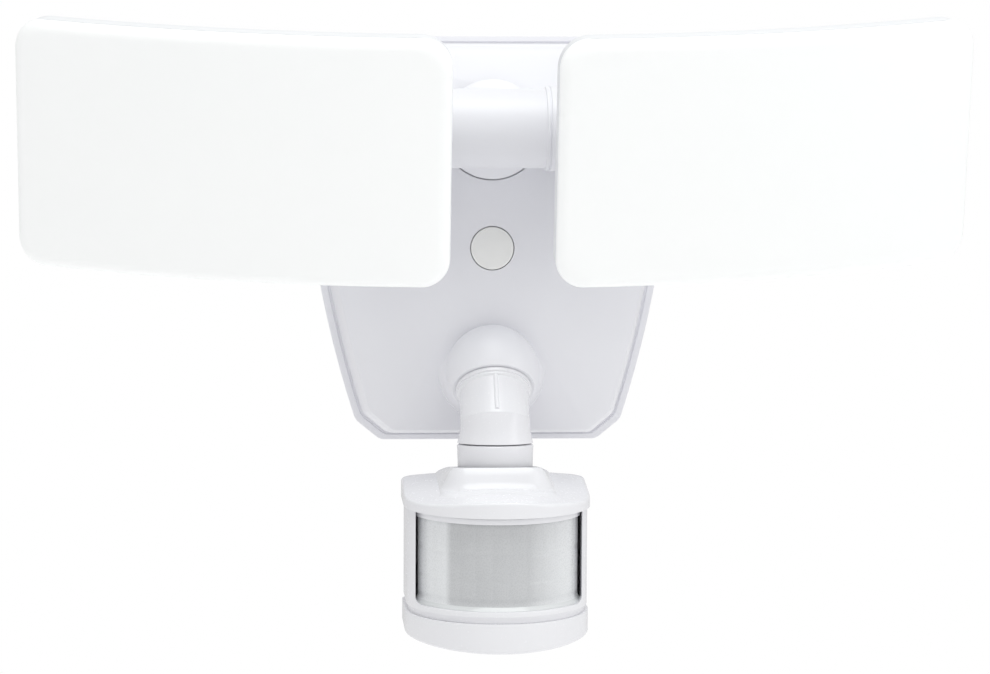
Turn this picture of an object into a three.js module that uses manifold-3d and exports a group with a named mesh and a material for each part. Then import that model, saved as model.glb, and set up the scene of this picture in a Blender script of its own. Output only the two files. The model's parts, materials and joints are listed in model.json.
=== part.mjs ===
// Outdoor security light with two panel lamp heads and a motion sensor on a swivelling arm.
// Millimetres, +Z up, +Y into the wall. The origin is on the axis of the centre bolt, in the wall plane.
import * as THREE from "three";
import { mergeVertices } from "three/addons/utils/BufferGeometryUtils.js";
import Module from "manifold-3d";

const wasm = await Module();
wasm.setup();

// ---------------------------------------------------------------- driving dimensions
const GAP = 0.3; // air between two pieces that rest on each other
const ROUND = 20; // sides of a large round part
const ROUND_MID = 12; // of a middling one
const ROUND_SMALL = 8; // sides of a screw, pin or knob

const CANOPY = {
  top: 82.5,
  bottom: -75.4,
  halfWidth: 72.6, // widest, at sideCentre and above
  sideCentre: 58, // height where the side arcs start to close in
  sideRadius: 385,
  cornerStart: -67.5, // lower corner cut: where it leaves the side
  bottomHalf: 41, // and where it meets the bottom edge
  topCorner: 12,
  back: 1.8, // depth of the flange's back, behind it lies the gasket
  flangeFront: 5.4,
  flangeInset: 3,
  shoulder: 20.4, // depth of the face at its edge
  shoulderInset: 6.4,
  plateau: 31, // depth of the raised middle
  plateauScaleX: 0.42,
  plateauScaleZ: 0.6,
  plateauCentre: 12,
  wall: 2.5,
};
const HUB = {
  z: 45.8,
  depth: 50,
  barrelR: 15.1,
  collarR: 16.2,
  half: 23.5,
  collar: 5, // length of the collar at each end
  stemR: 17.6,
  seatR: 18.8, // round pad on the canopy that the stem stands on
  spigotR: 10.5,
  boreR: 7.5,
  nutDepth: 24.2,
  nutSeatR: 17,
  boltR: 4.3, // bore for the tilt bolts
};
const PLUG = { r: 8.3, hold: 7.8, recessR: 8.6, recess: 3.5, back: 3.2, front: 0.5, lip: 1.8 };
const CENTRE_BOLT = { under: 17.4, headR: 4.8, headHeight: 3, shankR: 2.3, length: 17, sinkR: 5.4 };
const DOME = { z: -47.2, depth: 33, r: 17.8, wall: 2.3, open: 8.2, holeR: 11.9 };
const SWIVEL_DROP = 51.5; // degrees that the swivel axis points below level
const ARM = { tubeR: 13.2, flareR: 14.1, wall: 2.2, frontDepth: 61, seamZ: -73.8 };
const COLLAR = { topR: 14.5, bottomR: 14.1, bottomZ: -83.6, spigotR: 10.6 };
const HEAD = {
  halfLength: 83,
  halfHeight: 47.5,
  corner: 12,
  bend: 430, // radius of the face seen from above
  depth: 24,
  tilt: 15, // rest pose, degrees face down
  panLeft: 12, // rest pose, degrees turned outwards
  panRight: 13.5,
  panX: 50, // pan axis, from the hub centre
  ahead: 48.6, // face in front of the pan axis
  outwards: 42.6, // face centre outside the pan axis
  drop: 2.4, // and below it
  shellHalfLength: 83.5, // rear shell, a little longer than the face
  backHalfLength: 50, // flat back of the shell
  backHalfHeight: 26.5,
};
const PAN = { eyeR: 9.5, eyeHalf: 8, lug: 4, boreR: 3.2, boltR: 2.9 };
const TILT = { near: 24.4, far: 30, discR: 16, discEndR: 15.4, neckR: 7.8, rootR: 11, boltR: 3.9 };
const SENSOR = {
  r: 34.9,
  back: 17,
  front: 44,
  tiltZ: -86.8,
  pitch: 4, // rest pose, degrees face down
  capBottom: -9.5,
  roof: -1.6,
  roofFall: 1.7,
  bodyBottom: -48.3,
  bottom: -60.7,
  wall: 2.3,
  windowHalf: 31.4,
};
const KNOB = { r: 4.2, height: 3.4, spacing: 15, y: -14 };

// ---------------------------------------------------------------- materials
const paint = (color, roughness, metalness = 0) =>
  new THREE.MeshStandardMaterial({ color, roughness, metalness });
const WHITE = paint(0xe9eaee, 0.38);
const SENSOR_WHITE = paint(0xe8eae8, 0.25);
const DIFFUSER = paint(0xf8fafa, 0.3);
const FRESNEL = paint(0xc4c7c5, 0.35);
const PLUG_GREY = paint(0xdedfdc, 0.6);
const RUBBER = paint(0x2b2c2e, 0.85);
const SILICONE = paint(0xd8d9d6, 0.7);
const STEEL = paint(0xb5b8bb, 0.35, 1);
const GREEN = paint(0x2e7d46, 0.45, 0.3);
const BOARD = paint(0xf0f0ea, 0.5);
const PCB = paint(0x2f5f3c, 0.5);
const REFLECTOR = paint(0xf4f4f2, 0.3);
const POTTING = paint(0x26282b, 0.6);
const CABLE = paint(0xd9dadb, 0.6);

// ---------------------------------------------------------------- solids and booleans
const rad = THREE.MathUtils.degToRad;

/** A closed geometry as a solid. */
function solid(geometry) {
  const bare = geometry.index ? geometry.toNonIndexed() : geometry.clone();
  bare.deleteAttribute("normal");
  bare.deleteAttribute("uv");
  const merged = mergeVertices(bare, 1e-3);
  const mesh = new wasm.Mesh({
    numProp: 3,
    vertProperties: merged.attributes.position.array,
    triVerts: new Uint32Array(merged.index.array),
  });
  return new wasm.Manifold(mesh);
}

/** A solid as a geometry that three.js can draw. */
function geometryOf(manifold) {
  const mesh = manifold.getMesh();
  const geometry = new THREE.BufferGeometry();
  geometry.setAttribute("position", new THREE.BufferAttribute(mesh.vertProperties, 3));
  geometry.setIndex(new THREE.BufferAttribute(mesh.triVerts, 1));
  const flat = geometry.toNonIndexed();
  flat.computeVertexNormals();
  return flat;
}

const join = (...parts) => parts.reduce((a, b) => a.add(b));
const cut = (whole, ...tools) => tools.reduce((a, b) => a.subtract(b), whole);

/** A closed skin through rings of equal length. The two end rings are closed with strips or a fan. */
function loft(rings, strips = false) {
  const count = rings[0].length;
  const points = rings.flat();
  const faces = [];
  for (let ring = 0; ring + 1 < rings.length; ring++) {
    for (let i = 0; i < count; i++) {
      const a = ring * count + i;
      const b = ring * count + ((i + 1) % count);
      faces.push([a, b, b + count], [a, b + count, a + count]);
    }
  }
  const closeEnd = (first, flip) => {
    const add = (a, b, c) => faces.push(flip ? [a, b, c] : [c, b, a]);
    if (strips) {
      for (let i = 0; i + 1 < count / 2; i++) {
        const [a, b] = [first + i, first + i + 1];
        const [c, d] = [first + count - 2 - i, first + count - 1 - i];
        add(a, c, b);
        add(a, d, c);
      }
      return;
    }
    const middle = new THREE.Vector3();
    for (let i = 0; i < count; i++) middle.add(points[first + i]);
    points.push(middle.divideScalar(count));
    for (let i = 0; i < count; i++) add(first + ((i + 1) % count), first + i, points.length - 1);
  };
  closeEnd(0, true);
  closeEnd((rings.length - 1) * count, false);
  const volume = faces.reduce((sum, [a, b, c]) => {
    const normal = new THREE.Vector3().crossVectors(points[b], points[c]);
    return sum + points[a].dot(normal);
  }, 0);
  const geometry = new THREE.BufferGeometry();
  const flat = faces.flatMap((face) => (volume < 0 ? [face[0], face[2], face[1]] : face));
  const values = flat.flatMap((i) => points[i].toArray());
  geometry.setAttribute("position", new THREE.Float32BufferAttribute(values, 3));
  return solid(geometry);
}

/** A round bar from one point to another, with its two end radii. */
function bar(from, to, radius, radiusEnd = radius, sides = ROUND) {
  const start = new THREE.Vector3(...from);
  const end = new THREE.Vector3(...to);
  const along = end.clone().sub(start);
  const geometry = new THREE.CylinderGeometry(radiusEnd, radius, along.length(), sides);
  const up = new THREE.Vector3(0, 1, 0);
  const turn = new THREE.Quaternion().setFromUnitVectors(up, along.clone().normalize());
  geometry.applyQuaternion(turn);
  const middle = start.add(end).multiplyScalar(0.5);
  geometry.translate(middle.x, middle.y, middle.z);
  return solid(geometry);
}

/** A ring: a bar with a bore. */
function ring(from, to, outer, inner, sides = ROUND) {
  const start = new THREE.Vector3(...from);
  const end = new THREE.Vector3(...to);
  const over = end.clone().sub(start).normalize();
  const low = start.clone().sub(over).toArray();
  const high = end.clone().add(over).toArray();
  return cut(bar(from, to, outer, outer, sides), bar(low, high, inner, inner, sides));
}

/** A box between two corners. */
function block(low, high) {
  const size = low.map((value, i) => high[i] - value);
  const geometry = new THREE.BoxGeometry(...size);
  geometry.translate(...low.map((value, i) => (value + high[i]) / 2));
  return solid(geometry);
}

function ball(centre, radius) {
  const geometry = new THREE.SphereGeometry(radius, ROUND, ROUND / 2);
  geometry.translate(...centre);
  return solid(geometry);
}

/** A named mesh with a material of its own. */
function piece(name, manifold, material) {
  const mesh = new THREE.Mesh(geometryOf(manifold), material.clone());
  mesh.name = name;
  return mesh;
}

// ---------------------------------------------------------------- canopy
/** Outline of the canopy seen from the front, drawn in by an inset, as [x, z] pairs. */
function canopyOutline(inset) {
  const right = [];
  const top = CANOPY.top - inset;
  const cornerTurns = 3;
  const cornerR = CANOPY.topCorner - inset * 0.4;
  for (let i = 0; i <= cornerTurns; i++) {
    const angle = (Math.PI / 2) * (1 - i / cornerTurns);
    const x = CANOPY.halfWidth - inset - cornerR + cornerR * Math.cos(angle);
    right.push([x, top - cornerR + cornerR * Math.sin(angle)]);
  }
  const sideSteps = 3;
  for (let i = 1; i <= sideSteps; i++) {
    const z = CANOPY.sideCentre + ((CANOPY.cornerStart + inset * 0.5 - CANOPY.sideCentre) * i) / sideSteps;
    const drop = (CANOPY.sideCentre - z) ** 2 / (2 * CANOPY.sideRadius);
    right.push([CANOPY.halfWidth - inset - drop, z]);
  }
  right.push([CANOPY.bottomHalf - inset * 0.6, CANOPY.bottom + inset]);
  const left = right.map(([x, z]) => [-x, z]).reverse();
  return [...right, ...left];
}

const canopyRing = (inset, depth) => canopyOutline(inset).map(([x, z]) => new THREE.Vector3(x, -depth, z));

/** The raised middle of the canopy's face: the outline drawn together round its centre. */
function plateauRing(depth, inset = 0) {
  const middle = (CANOPY.top + CANOPY.bottom) / 2;
  return canopyOutline(CANOPY.shoulderInset + inset).map(([x, z]) => {
    const px = x * CANOPY.plateauScaleX;
    const pz = CANOPY.plateauCentre + (z - middle) * CANOPY.plateauScaleZ;
    return new THREE.Vector3(px, -depth, pz);
  });
}

const swivelAxis = new THREE.Vector3(0, -Math.cos(rad(SWIVEL_DROP)), -Math.sin(rad(SWIVEL_DROP)));
const domeCentre = new THREE.Vector3(0, -DOME.depth, DOME.z);
/** A point on the swivel axis, at a distance from the dome's centre. */
const onSwivel = (distance) => domeCentre.clone().addScaledVector(swivelAxis, distance).toArray();

function canopy() {
  const wall = CANOPY.wall;
  const outer = loft([
    canopyRing(0, CANOPY.back),
    canopyRing(0, CANOPY.flangeFront - 0.8),
    canopyRing(0.8, CANOPY.flangeFront),
    canopyRing(CANOPY.flangeInset, CANOPY.flangeFront),
    canopyRing(CANOPY.shoulderInset - 1.6, CANOPY.shoulder - 1.4),
    canopyRing(CANOPY.shoulderInset, CANOPY.shoulder),
    plateauRing(CANOPY.plateau),
  ]);
  const inner = loft([
    canopyRing(CANOPY.flangeInset + wall, CANOPY.back - 1),
    canopyRing(CANOPY.shoulderInset - 1.6 + wall, CANOPY.shoulder - wall),
    plateauRing(CANOPY.plateau - wall, 1),
  ]);
  const centre = domeCentre.toArray();
  const dome = ball(centre, DOME.r);
  const domeInside = cut(ball(centre, DOME.r - DOME.wall), bar(onSwivel(DOME.open - 2.4), onSwivel(60), 40));
  const opening = bar(onSwivel(DOME.open), onSwivel(40), DOME.r + 1);
  const cableWay = bar([0, -12, DOME.z - 2], [0, -DOME.depth, DOME.z - 2], 9.5, 9.5, ROUND_MID);
  const plugCup = bar([0, 4 - CANOPY.plateau, 0], [0, 1 - CANOPY.plateau, 0], 11.4);
  const boss = bar([0, -3.2, 0], [0, 3 - CANOPY.plateau, 0], 7.4, 7.4, ROUND_MID);
  const driverPosts = driverFixings.map((z) =>
    bar([DRIVER.x, -CANOPY.plateau, z], [DRIVER.x, -9.4, z], 3.6, 3.6, ROUND_SMALL),
  );
  const seat = bar([0, -18, HUB.z], [0, -CANOPY.plateau, HUB.z], HUB.seatR);
  const body = join(outer, seat);
  const nutSeat = bar([0, -HUB.nutDepth, HUB.z], [0, -CANOPY.plateau, HUB.z], HUB.nutSeatR);
  const posts = join(boss, plugCup, nutSeat, ...driverPosts).intersect(body);
  const shell = join(cut(body, inner), dome, posts);
  return cut(
    shell,
    domeInside,
    opening,
    cableWay,
    bar(onSwivel(0), onSwivel(30), DOME.holeR),
    bar([0, -10, HUB.z], [0, -40, HUB.z], HUB.spigotR + GAP),
    bar([0, PLUG.recess - CANOPY.plateau, 0], [0, -40, 0], PLUG.recessR),
    bar([0, -CENTRE_BOLT.under, 0], [0, -40, 0], CENTRE_BOLT.sinkR, CENTRE_BOLT.sinkR, ROUND_MID),
    bar([0, 5, 0], [0, -30, 0], 2.9, 2.9, ROUND_SMALL),
    ...driverFixings.map((z) => bar([DRIVER.x, -19, z], [DRIVER.x, 0, z], 1.5, 1.5, ROUND_SMALL)),
  );
}

const GASKET = { edge: 0.5, inner: 3.8 }; // how far its two edges lie inside the canopy's outline
const wallGasket = () =>
  cut(
    loft([canopyRing(GASKET.edge, 0), canopyRing(GASKET.edge, CANOPY.back - GAP)]),
    loft([canopyRing(GASKET.inner, -1), canopyRing(GASKET.inner, 4)]),
  );

// ---------------------------------------------------------------- inside the canopy
const DRIVER = { x: -32, half: 16, low: -30, high: 40, back: 5.5, front: 18.2 };
const driverFixings = [DRIVER.high + 5, DRIVER.low - 5];

function driverCase() {
  const { x, half, low, high, back, front } = DRIVER;
  const body = block([x - half, -front, low], [x + half, -back, high]);
  const ears = block([x - 5, -9, low - 9], [x + 5, -7, high + 9]);
  const panel = block([x - 12, -back - 0.5, low + 10], [x + 12, 0, high - 10]);
  const holes = driverFixings.map((z) => bar([x, -20, z], [x, 0, z], 1.9, 1.9, ROUND_SMALL));
  return cut(join(body, ears), panel, ...holes);
}

/** A pan-head screw: a round head on a shank, along a direction, starting under its head. */
function screw(under, direction, headR, headHeight, shankR, length) {
  const along = new THREE.Vector3(...direction).normalize();
  const start = new THREE.Vector3(...under);
  const back = start.clone().addScaledVector(along, -headHeight);
  const tip = start.clone().addScaledVector(along, length);
  const lip = start.clone().addScaledVector(along, -headHeight * 0.4);
  const head = join(
    bar(lip.toArray(), start.toArray(), headR, headR, ROUND_SMALL),
    bar(back.toArray(), lip.toArray(), headR * 0.72, headR, ROUND_SMALL),
  );
  const shank = bar(lip.toArray(), tip.toArray(), shankR, shankR * 0.85, ROUND_SMALL);
  return join(head, shank);
}

const STRAP = { half: 6.5, reach: 48, thick: 2.4, slotR: 2.2, slotFrom: 34, slotTo: 44, groundZ: -20 };

function mountingStrap() {
  const { half, reach, thick, slotR, slotFrom, slotTo, groundZ } = STRAP;
  const plate = block([-half, -thick, -reach], [half, 0, reach]);
  const through = (z, r) => bar([0, -4, z], [0, 2, z], r, r, ROUND_SMALL);
  const slots = [-1, 1].map((side) => {
    const ends = [side * slotFrom, side * slotTo].sort((a, b) => a - b);
    return join(
      block([-slotR, -4, ends[0]], [slotR, 2, ends[1]]),
      through(ends[0], slotR),
      through(ends[1], slotR),
    );
  });
  return cut(plate, ...slots, through(0, 2.7), through(groundZ, 1.8));
}

function centreBolt() {
  const { under, headR, headHeight, shankR, length } = CENTRE_BOLT;
  return screw([0, -under - GAP, 0], [0, 1, 0], headR, headHeight, shankR, length);
}

/** The push-in plug over the centre bolt: a flat face on a smaller holding ring. */
function boltPlug() {
  const at = (behind) => [0, behind - CANOPY.plateau, 0];
  return join(bar(at(-PLUG.front), at(PLUG.lip), PLUG.r), bar(at(PLUG.lip - 0.4), at(PLUG.back), PLUG.hold));
}

/** A round lead drawn along a smooth route. */
function lead(route, radius, steps) {
  const curve = new THREE.CatmullRomCurve3(route.map((p) => new THREE.Vector3(...p)));
  const section = new THREE.Shape();
  const sides = 8;
  for (let i = 0; i < sides; i++) {
    const angle = (2 * Math.PI * i) / sides;
    const [x, y] = [radius * Math.cos(angle), radius * Math.sin(angle)];
    if (i === 0) section.moveTo(x, y);
    else section.lineTo(x, y);
  }
  section.closePath();
  return solid(new THREE.ExtrudeGeometry(section, { extrudePath: curve, steps }));
}

const headLeadRoute = [
  [-21, -11, DRIVER.high + GAP],
  [-20.5, -10.5, 46],
  [-14, -8.5, 50],
  [-5, -8.5, 48.5],
  [-0.5, -11, 46.4],
  [0, -16, HUB.z],
  [0, -24, HUB.z],
];
const sensorLeadRoute = [
  [-21, -12, DRIVER.low - GAP],
  [-20, -12, -37],
  [-14, -10, -46],
  [-6, -9, -49.5],
  [-0.5, -12, -49.2],
  [0, -18, -48.5],
  [0, -24, -48],
];

// ---------------------------------------------------------------- hub that carries both heads
function hub() {
  const z = HUB.z;
  const y = -HUB.depth;
  const inner = HUB.half - HUB.collar;
  const base = -(CANOPY.plateau + 0.7);
  const body = join(
    bar([-inner - 0.5, y, z], [inner + 0.5, y, z], HUB.barrelR, HUB.barrelR, ROUND),
    ...[-1, 1].map((side) =>
      bar([side * inner, y, z], [side * HUB.half, y, z], HUB.collarR, HUB.collarR, ROUND),
    ),
    bar([0, base, z], [0, y + 7, z], HUB.stemR, HUB.stemR - 0.6, ROUND),
    bar([0, -13, z], [0, base - 2, z], HUB.spigotR),
  );
  return cut(
    body,
    bar([0, 0, z], [0, y, z], HUB.boreR, HUB.boreR, ROUND_MID),
    bar([2 - inner, y, z], [inner - 2, y, z], 12, 12, ROUND_MID),
    bar([-40, y, z], [40, y, z], HUB.boltR, HUB.boltR, ROUND_SMALL),
    ring([0, base + 2, z], [0, base - 1.6, z], 15, 12, ROUND),
  );
}

const hubSeal = () => ring([0, -(CANOPY.plateau + 1), HUB.z], [0, -(CANOPY.plateau + 2), HUB.z], 14.7, 12.3);

function hubLocknut() {
  const face = GAP - HUB.nutDepth;
  const nut = bar([0, face, HUB.z], [0, face + 5, HUB.z], 14.5, 14.5, 6);
  return cut(nut, bar([0, 0, HUB.z], [0, -40, HUB.z], HUB.spigotR + GAP));
}

// ---------------------------------------------------------------- one lamp head, in its own frame
// The face's middle is the origin, +Y runs back into the head, +X along it.

/** Columns of a rounded rectangle: the same number whatever its size, so that rings can be lofted. */
function columns(halfLength, halfHeight, corner) {
  const turns = 3;
  const middle = 5;
  const list = [];
  for (let i = 0; i <= turns; i++) {
    const angle = (Math.PI / 2) * (i / turns);
    const [across, up] = [corner * Math.cos(angle), corner * Math.sin(angle)];
    list.push([halfLength - corner + across, halfHeight - corner + up]);
  }
  const flat = halfLength - corner;
  const right = list.slice().reverse();
  const between = [];
  for (let i = 1; i < middle; i++) between.push([-flat + (2 * flat * i) / middle, halfHeight]);
  return [...list.map(([a, b]) => [-a, b]), ...between, ...right];
}

/** A point of the head at a place on its face and a depth behind it, bent round the head's arc. */
function bent(along, high, depth) {
  const angle = along / HEAD.bend;
  const r = HEAD.bend - depth;
  return new THREE.Vector3(r * Math.sin(angle), HEAD.bend - r * Math.cos(angle), high);
}

/** A bent slab through rounded rectangles given as [depth, inset, corner]. */
function slab(levels) {
  const rings = levels.map(([depth, inset, corner = HEAD.corner - inset * 0.6]) => {
    const list = columns(HEAD.halfLength - inset, HEAD.halfHeight - inset, Math.max(corner, 2));
    const top = list.map(([a, b]) => bent(a, b, depth));
    const bottom = list.map(([a, b]) => bent(a, -b, depth)).reverse();
    return [...top, ...bottom];
  });
  return loft(rings, true);
}

/** A bent slab drawn in separately along and across: [depth, half length, half height, corner] each. */
function taperedSlab(levels) {
  const rings = levels.map(([depth, halfLength, halfHeight, corner]) => {
    const list = columns(halfLength, halfHeight, corner);
    const top = list.map(([a, b]) => bent(a, b, depth));
    const bottom = list.map(([a, b]) => bent(a, -b, depth)).reverse();
    return [...top, ...bottom];
  });
  return loft(rings, true);
}

const headScrews = [
  [-62, -30],
  [62, -30],
  [-62, 30],
  [62, 30],
];

/** One round bar at each of a head's screws, between two depths. */
const alongScrews = (near, far, r) =>
  headScrews.map(([x, z]) => bar(bent(x, z, near).toArray(), bent(x, z, far).toArray(), r, r, ROUND_SMALL));

const FINS = { count: 8, first: -22, pitch: 9.5, half: 1, proud: 5, tall: 24 };

function headHousing(side) {
  const [length, height, corner] = [HEAD.shellHalfLength, HEAD.halfHeight, HEAD.corner];
  const outer = taperedSlab([
    [4.4, length - 0.4, height - 0.4, corner - 0.4],
    [4.9, length, height, corner],
    [10.4, length, height, corner],
    [12, length - 1.1, height - 1.1, corner - 1],
    [22.8, HEAD.backHalfLength + 3, HEAD.backHalfHeight + 2.5, 8],
    [HEAD.depth, HEAD.backHalfLength, HEAD.backHalfHeight, 7],
  ]);
  const inner = taperedSlab([
    [2, length - 1, height - 1, corner - 1],
    [7.5, length - 1, height - 1, corner - 1],
    [7.5, length - 2.6, height - 2.6, corner - 2],
    [11.6, length - 3.1, height - 3.1, corner - 3],
    [20.8, HEAD.backHalfLength + 2, HEAD.backHalfHeight + 1.5, 6],
    [21.8, HEAD.backHalfLength - 1, HEAD.backHalfHeight - 1.5, 5],
  ]);
  const fins = [];
  for (let i = 0; i < FINS.count; i++) {
    const x = side * (FINS.first + FINS.pitch * i);
    const z = FINS.tall - Math.max(0, i - 5) * 2;
    const back = HEAD.depth + FINS.proud + bent(x, 0, 0).y;
    fins.push(block([x - FINS.half, HEAD.depth - 2, -z], [x + FINS.half, back, z]));
  }
  const panX = -side * HEAD.outwards;
  const lugs = [-1, 1].flatMap((end) => {
    const [near, far] = [PAN.eyeHalf + 0.4, PAN.eyeHalf + 0.4 + PAN.lug].map((z) => end * z + HEAD.drop);
    const [low, high] = [Math.min(near, far), Math.max(near, far)];
    return [
      block([panX - PAN.eyeR, HEAD.depth - 1, low], [panX + PAN.eyeR, HEAD.ahead, high]),
      bar([panX, HEAD.ahead, low], [panX, HEAD.ahead, high], PAN.eyeR, PAN.eyeR, ROUND_MID),
    ];
  });
  const bosses = alongScrews(15.8, 20, 3.8);
  const holes = alongScrews(9, 24, 1.8);
  const sinks = alongScrews(20, 28, 3.8);
  const pinHole = bar([panX, HEAD.ahead, -20], [panX, HEAD.ahead, 20], PAN.boreR, PAN.boreR, ROUND_SMALL);
  return cut(join(cut(outer, inner), ...fins, ...lugs, ...bosses), ...holes, ...sinks, pinHole);
}

function headLens() {
  const outer = slab([
    [0, 4.6],
    [0.9, 2.4],
    [2.4, 1.35],
    [6.2, 1.3],
  ]);
  const inner = slab([
    [1.9, 5.2],
    [2.8, 3.5],
    [8, 3.3],
  ]);
  return cut(outer, inner);
}

const headSeal = () => cut(slab([[6.5, 1.4], [7.2, 1.4]]), slab([[5, 2.4], [9, 2.4]]));

function headReflector() {
  const outer = taperedSlab([
    [8, 79.8, 43.8, 9],
    [9, 79.8, 43.8, 9],
    [17.4, 51, 27, 5],
  ]);
  const inner = taperedSlab([
    [7, 78.6, 42.6, 8.5],
    [8.6, 78.6, 42.6, 8.5],
    [18.4, 46.5, 22.5, 4],
  ]);
  return cut(join(cut(outer, inner), ...alongScrews(13, 15.4, 3.4)), ...alongScrews(14, 17, 1.6));
}

function headBoard() {
  const plate = block([-47, 18.2, -23], [47, 19.6, 23]);
  const chips = [];
  for (const row of [-1, 1]) {
    for (let i = 0; i < 5; i++) {
      const [x, z] = [-36 + 18 * i, row * 11];
      chips.push(block([x - 2, 17.4, z - 2], [x + 2, 18.4, z + 2]));
    }
  }
  return join(plate, ...chips);
}

/** The arm that turns on the hub's end and carries the pan eye, in the hub's frame, for one side. */
function tiltArm(side) {
  const x = (value) => side * value;
  const disc = bar([x(TILT.near), 0, 0], [x(TILT.far), 0, 0], TILT.discR, TILT.discEndR, ROUND);
  const neck = join(
    bar([x(29), 0, 0], [x(37), 0, 0], TILT.rootR, TILT.neckR, ROUND_MID),
    bar([x(36), 0, 0], [x(HEAD.panX - 4), 0, 0], TILT.neckR, TILT.neckR, ROUND_MID),
  );
  const upright = (half, r, sides) => bar([x(HEAD.panX), 0, -half], [x(HEAD.panX), 0, half], r, r, sides);
  const eye = upright(PAN.eyeHalf, PAN.eyeR, ROUND_MID);
  const pinHole = upright(PAN.eyeHalf + 2, PAN.boreR, ROUND_SMALL);
  const boltHole = bar([x(20), 0, 0], [x(29.4), 0, 0], HUB.boltR, HUB.boltR, ROUND_SMALL);
  return cut(join(disc, neck, eye), pinHole, boltHole);
}

function tiltBolt(side) {
  const x = (value) => side * value;
  const head = bar([x(10.8), 0, 0], [x(13.6), 0, 0], 6.8, 6.8, 6);
  return join(head, bar([x(13), 0, 0], [x(29), 0, 0], TILT.boltR, TILT.boltR, ROUND_SMALL));
}

const springWasher = (side) => ring([side * 13.9, 0, 0], [side * 16.1, 0, 0], 7.4, 4.3, ROUND_MID);

const panBolt = () =>
  join(
    bar([0, 0, -14.6], [0, 0, 13], PAN.boltR, PAN.boltR, ROUND_SMALL),
    bar([0, 0, 12.8], [0, 0, 15.6], 5.2, 4.6, ROUND_SMALL),
    bar([0, 0, -15.8], [0, 0, -12.8], 5, 5, 6),
  );

function lampHead(label, side, pan) {
  const arm = new THREE.Group(); // turns with the tilt joint
  arm.position.set(0, -HUB.depth, HUB.z);
  arm.rotation.x = rad(HEAD.tilt);
  arm.add(
    piece(`${label}_tilt_arm`, tiltArm(side), WHITE),
    piece(`${label}_tilt_bolt`, tiltBolt(side), STEEL),
    piece(`${label}_spring_washer`, springWasher(side), STEEL),
  );
  const head = new THREE.Group(); // turns with the pan joint
  head.position.x = side * HEAD.panX;
  head.rotation.z = side * rad(pan);
  arm.add(head);
  head.add(piece(`${label}_pan_bolt`, panBolt(), STEEL));
  const face = new THREE.Group();
  face.position.set(side * HEAD.outwards, -HEAD.ahead, -HEAD.drop);
  head.add(face);
  face.add(
    piece(`${label}_housing`, headHousing(side), WHITE),
    piece(`${label}_lens`, headLens(), DIFFUSER),
    piece(`${label}_lens_seal`, headSeal(), SILICONE),
    piece(`${label}_reflector`, headReflector(), REFLECTOR),
    piece(`${label}_led_board`, headBoard(), BOARD),
  );
  headScrews.forEach(([x, z], i) => {
    const under = bent(x, z, 20 + GAP);
    const inwards = bent(x, z, 10).sub(under);
    const body = screw(under.toArray(), inwards.toArray(), 3.2, 1.8, 1.4, 5.8);
    face.add(piece(`${label}_screw_${i + 1}`, body, STEEL));
  });
  return arm;
}

// ---------------------------------------------------------------- swivel arm of the sensor
const tubeY = ARM.tubeR - ARM.frontDepth; // axis of the upright part
const cornerAlong = (-tubeY - DOME.depth) / Math.cos(rad(SWIVEL_DROP));
const cornerZ = DOME.z - cornerAlong * Math.sin(rad(SWIVEL_DROP));

/** Rings of the mitred elbow: square to the swivel axis, in the mitre plane, and level at the seam. */
function elbowRings(radius, startAlong, endRadius, endZ) {
  const sides = 20;
  const rings = [[], [], [], []];
  const start = new THREE.Vector3(...onSwivel(startAlong));
  const corner = new THREE.Vector3(0, tubeY, cornerZ);
  const bisector = new THREE.Vector3(0, 0, -1).add(swivelAxis).normalize();
  const across = new THREE.Vector3(0, bisector.z, -bisector.y);
  const stretch = 1 / Math.cos(rad((90 - SWIVEL_DROP) / 2));
  const front = new THREE.Vector3(0, swivelAxis.z, -swivelAxis.y);
  for (let i = 0; i < sides; i++) {
    const [c, s] = [Math.cos((2 * Math.PI * i) / sides), Math.sin((2 * Math.PI * i) / sides)];
    const point = (from, forward, r, rAcross) =>
      from.clone().addScaledVector(new THREE.Vector3(1, 0, 0), c * r).addScaledVector(forward, s * rAcross);
    rings[0].push(point(start, front, radius, radius));
    rings[1].push(point(corner, across, radius, radius * stretch));
    const level = new THREE.Vector3(0, -1, 0);
    rings[2].push(point(new THREE.Vector3(0, tubeY, endZ + 3), level, endRadius - 0.15, endRadius - 0.15));
    rings[3].push(point(new THREE.Vector3(0, tubeY, endZ), level, endRadius, endRadius));
  }
  return rings;
}

function swivelElbow() {
  const seam = DOME.open + GAP;
  const flange = join(
    bar(onSwivel(seam), onSwivel(seam + 2), 15.8, 14.7),
    bar(onSwivel(seam + 1.9), onSwivel(seam + 3.2), 14.3, 13.3),
  );
  const tube = loft(elbowRings(ARM.tubeR, seam + 0.4, ARM.flareR, ARM.seamZ));
  const spigot = bar(onSwivel(1.6), onSwivel(seam + 2), 11.4, 11.4, ROUND);
  const bore = loft(elbowRings(ARM.tubeR - ARM.wall - 0.2, 0, ARM.tubeR - ARM.wall, ARM.seamZ - 1));
  const up = new THREE.Vector3(0, swivelAxis.z, -swivelAxis.y);
  const ribStart = new THREE.Vector3(...onSwivel(seam + 0.2)).addScaledVector(up, ARM.tubeR - 0.6);
  const ribEnd = ribStart.clone().addScaledVector(swivelAxis, 19.5);
  const rib = bar(ribStart.toArray(), ribEnd.toArray(), 1.2, 1.2, 8);
  return cut(join(flange, tube, spigot, rib), bore);
}

const swivelRetainer = () => ring(onSwivel(2), onSwivel(5.4), 13.6, 11.7, ROUND);

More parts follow.
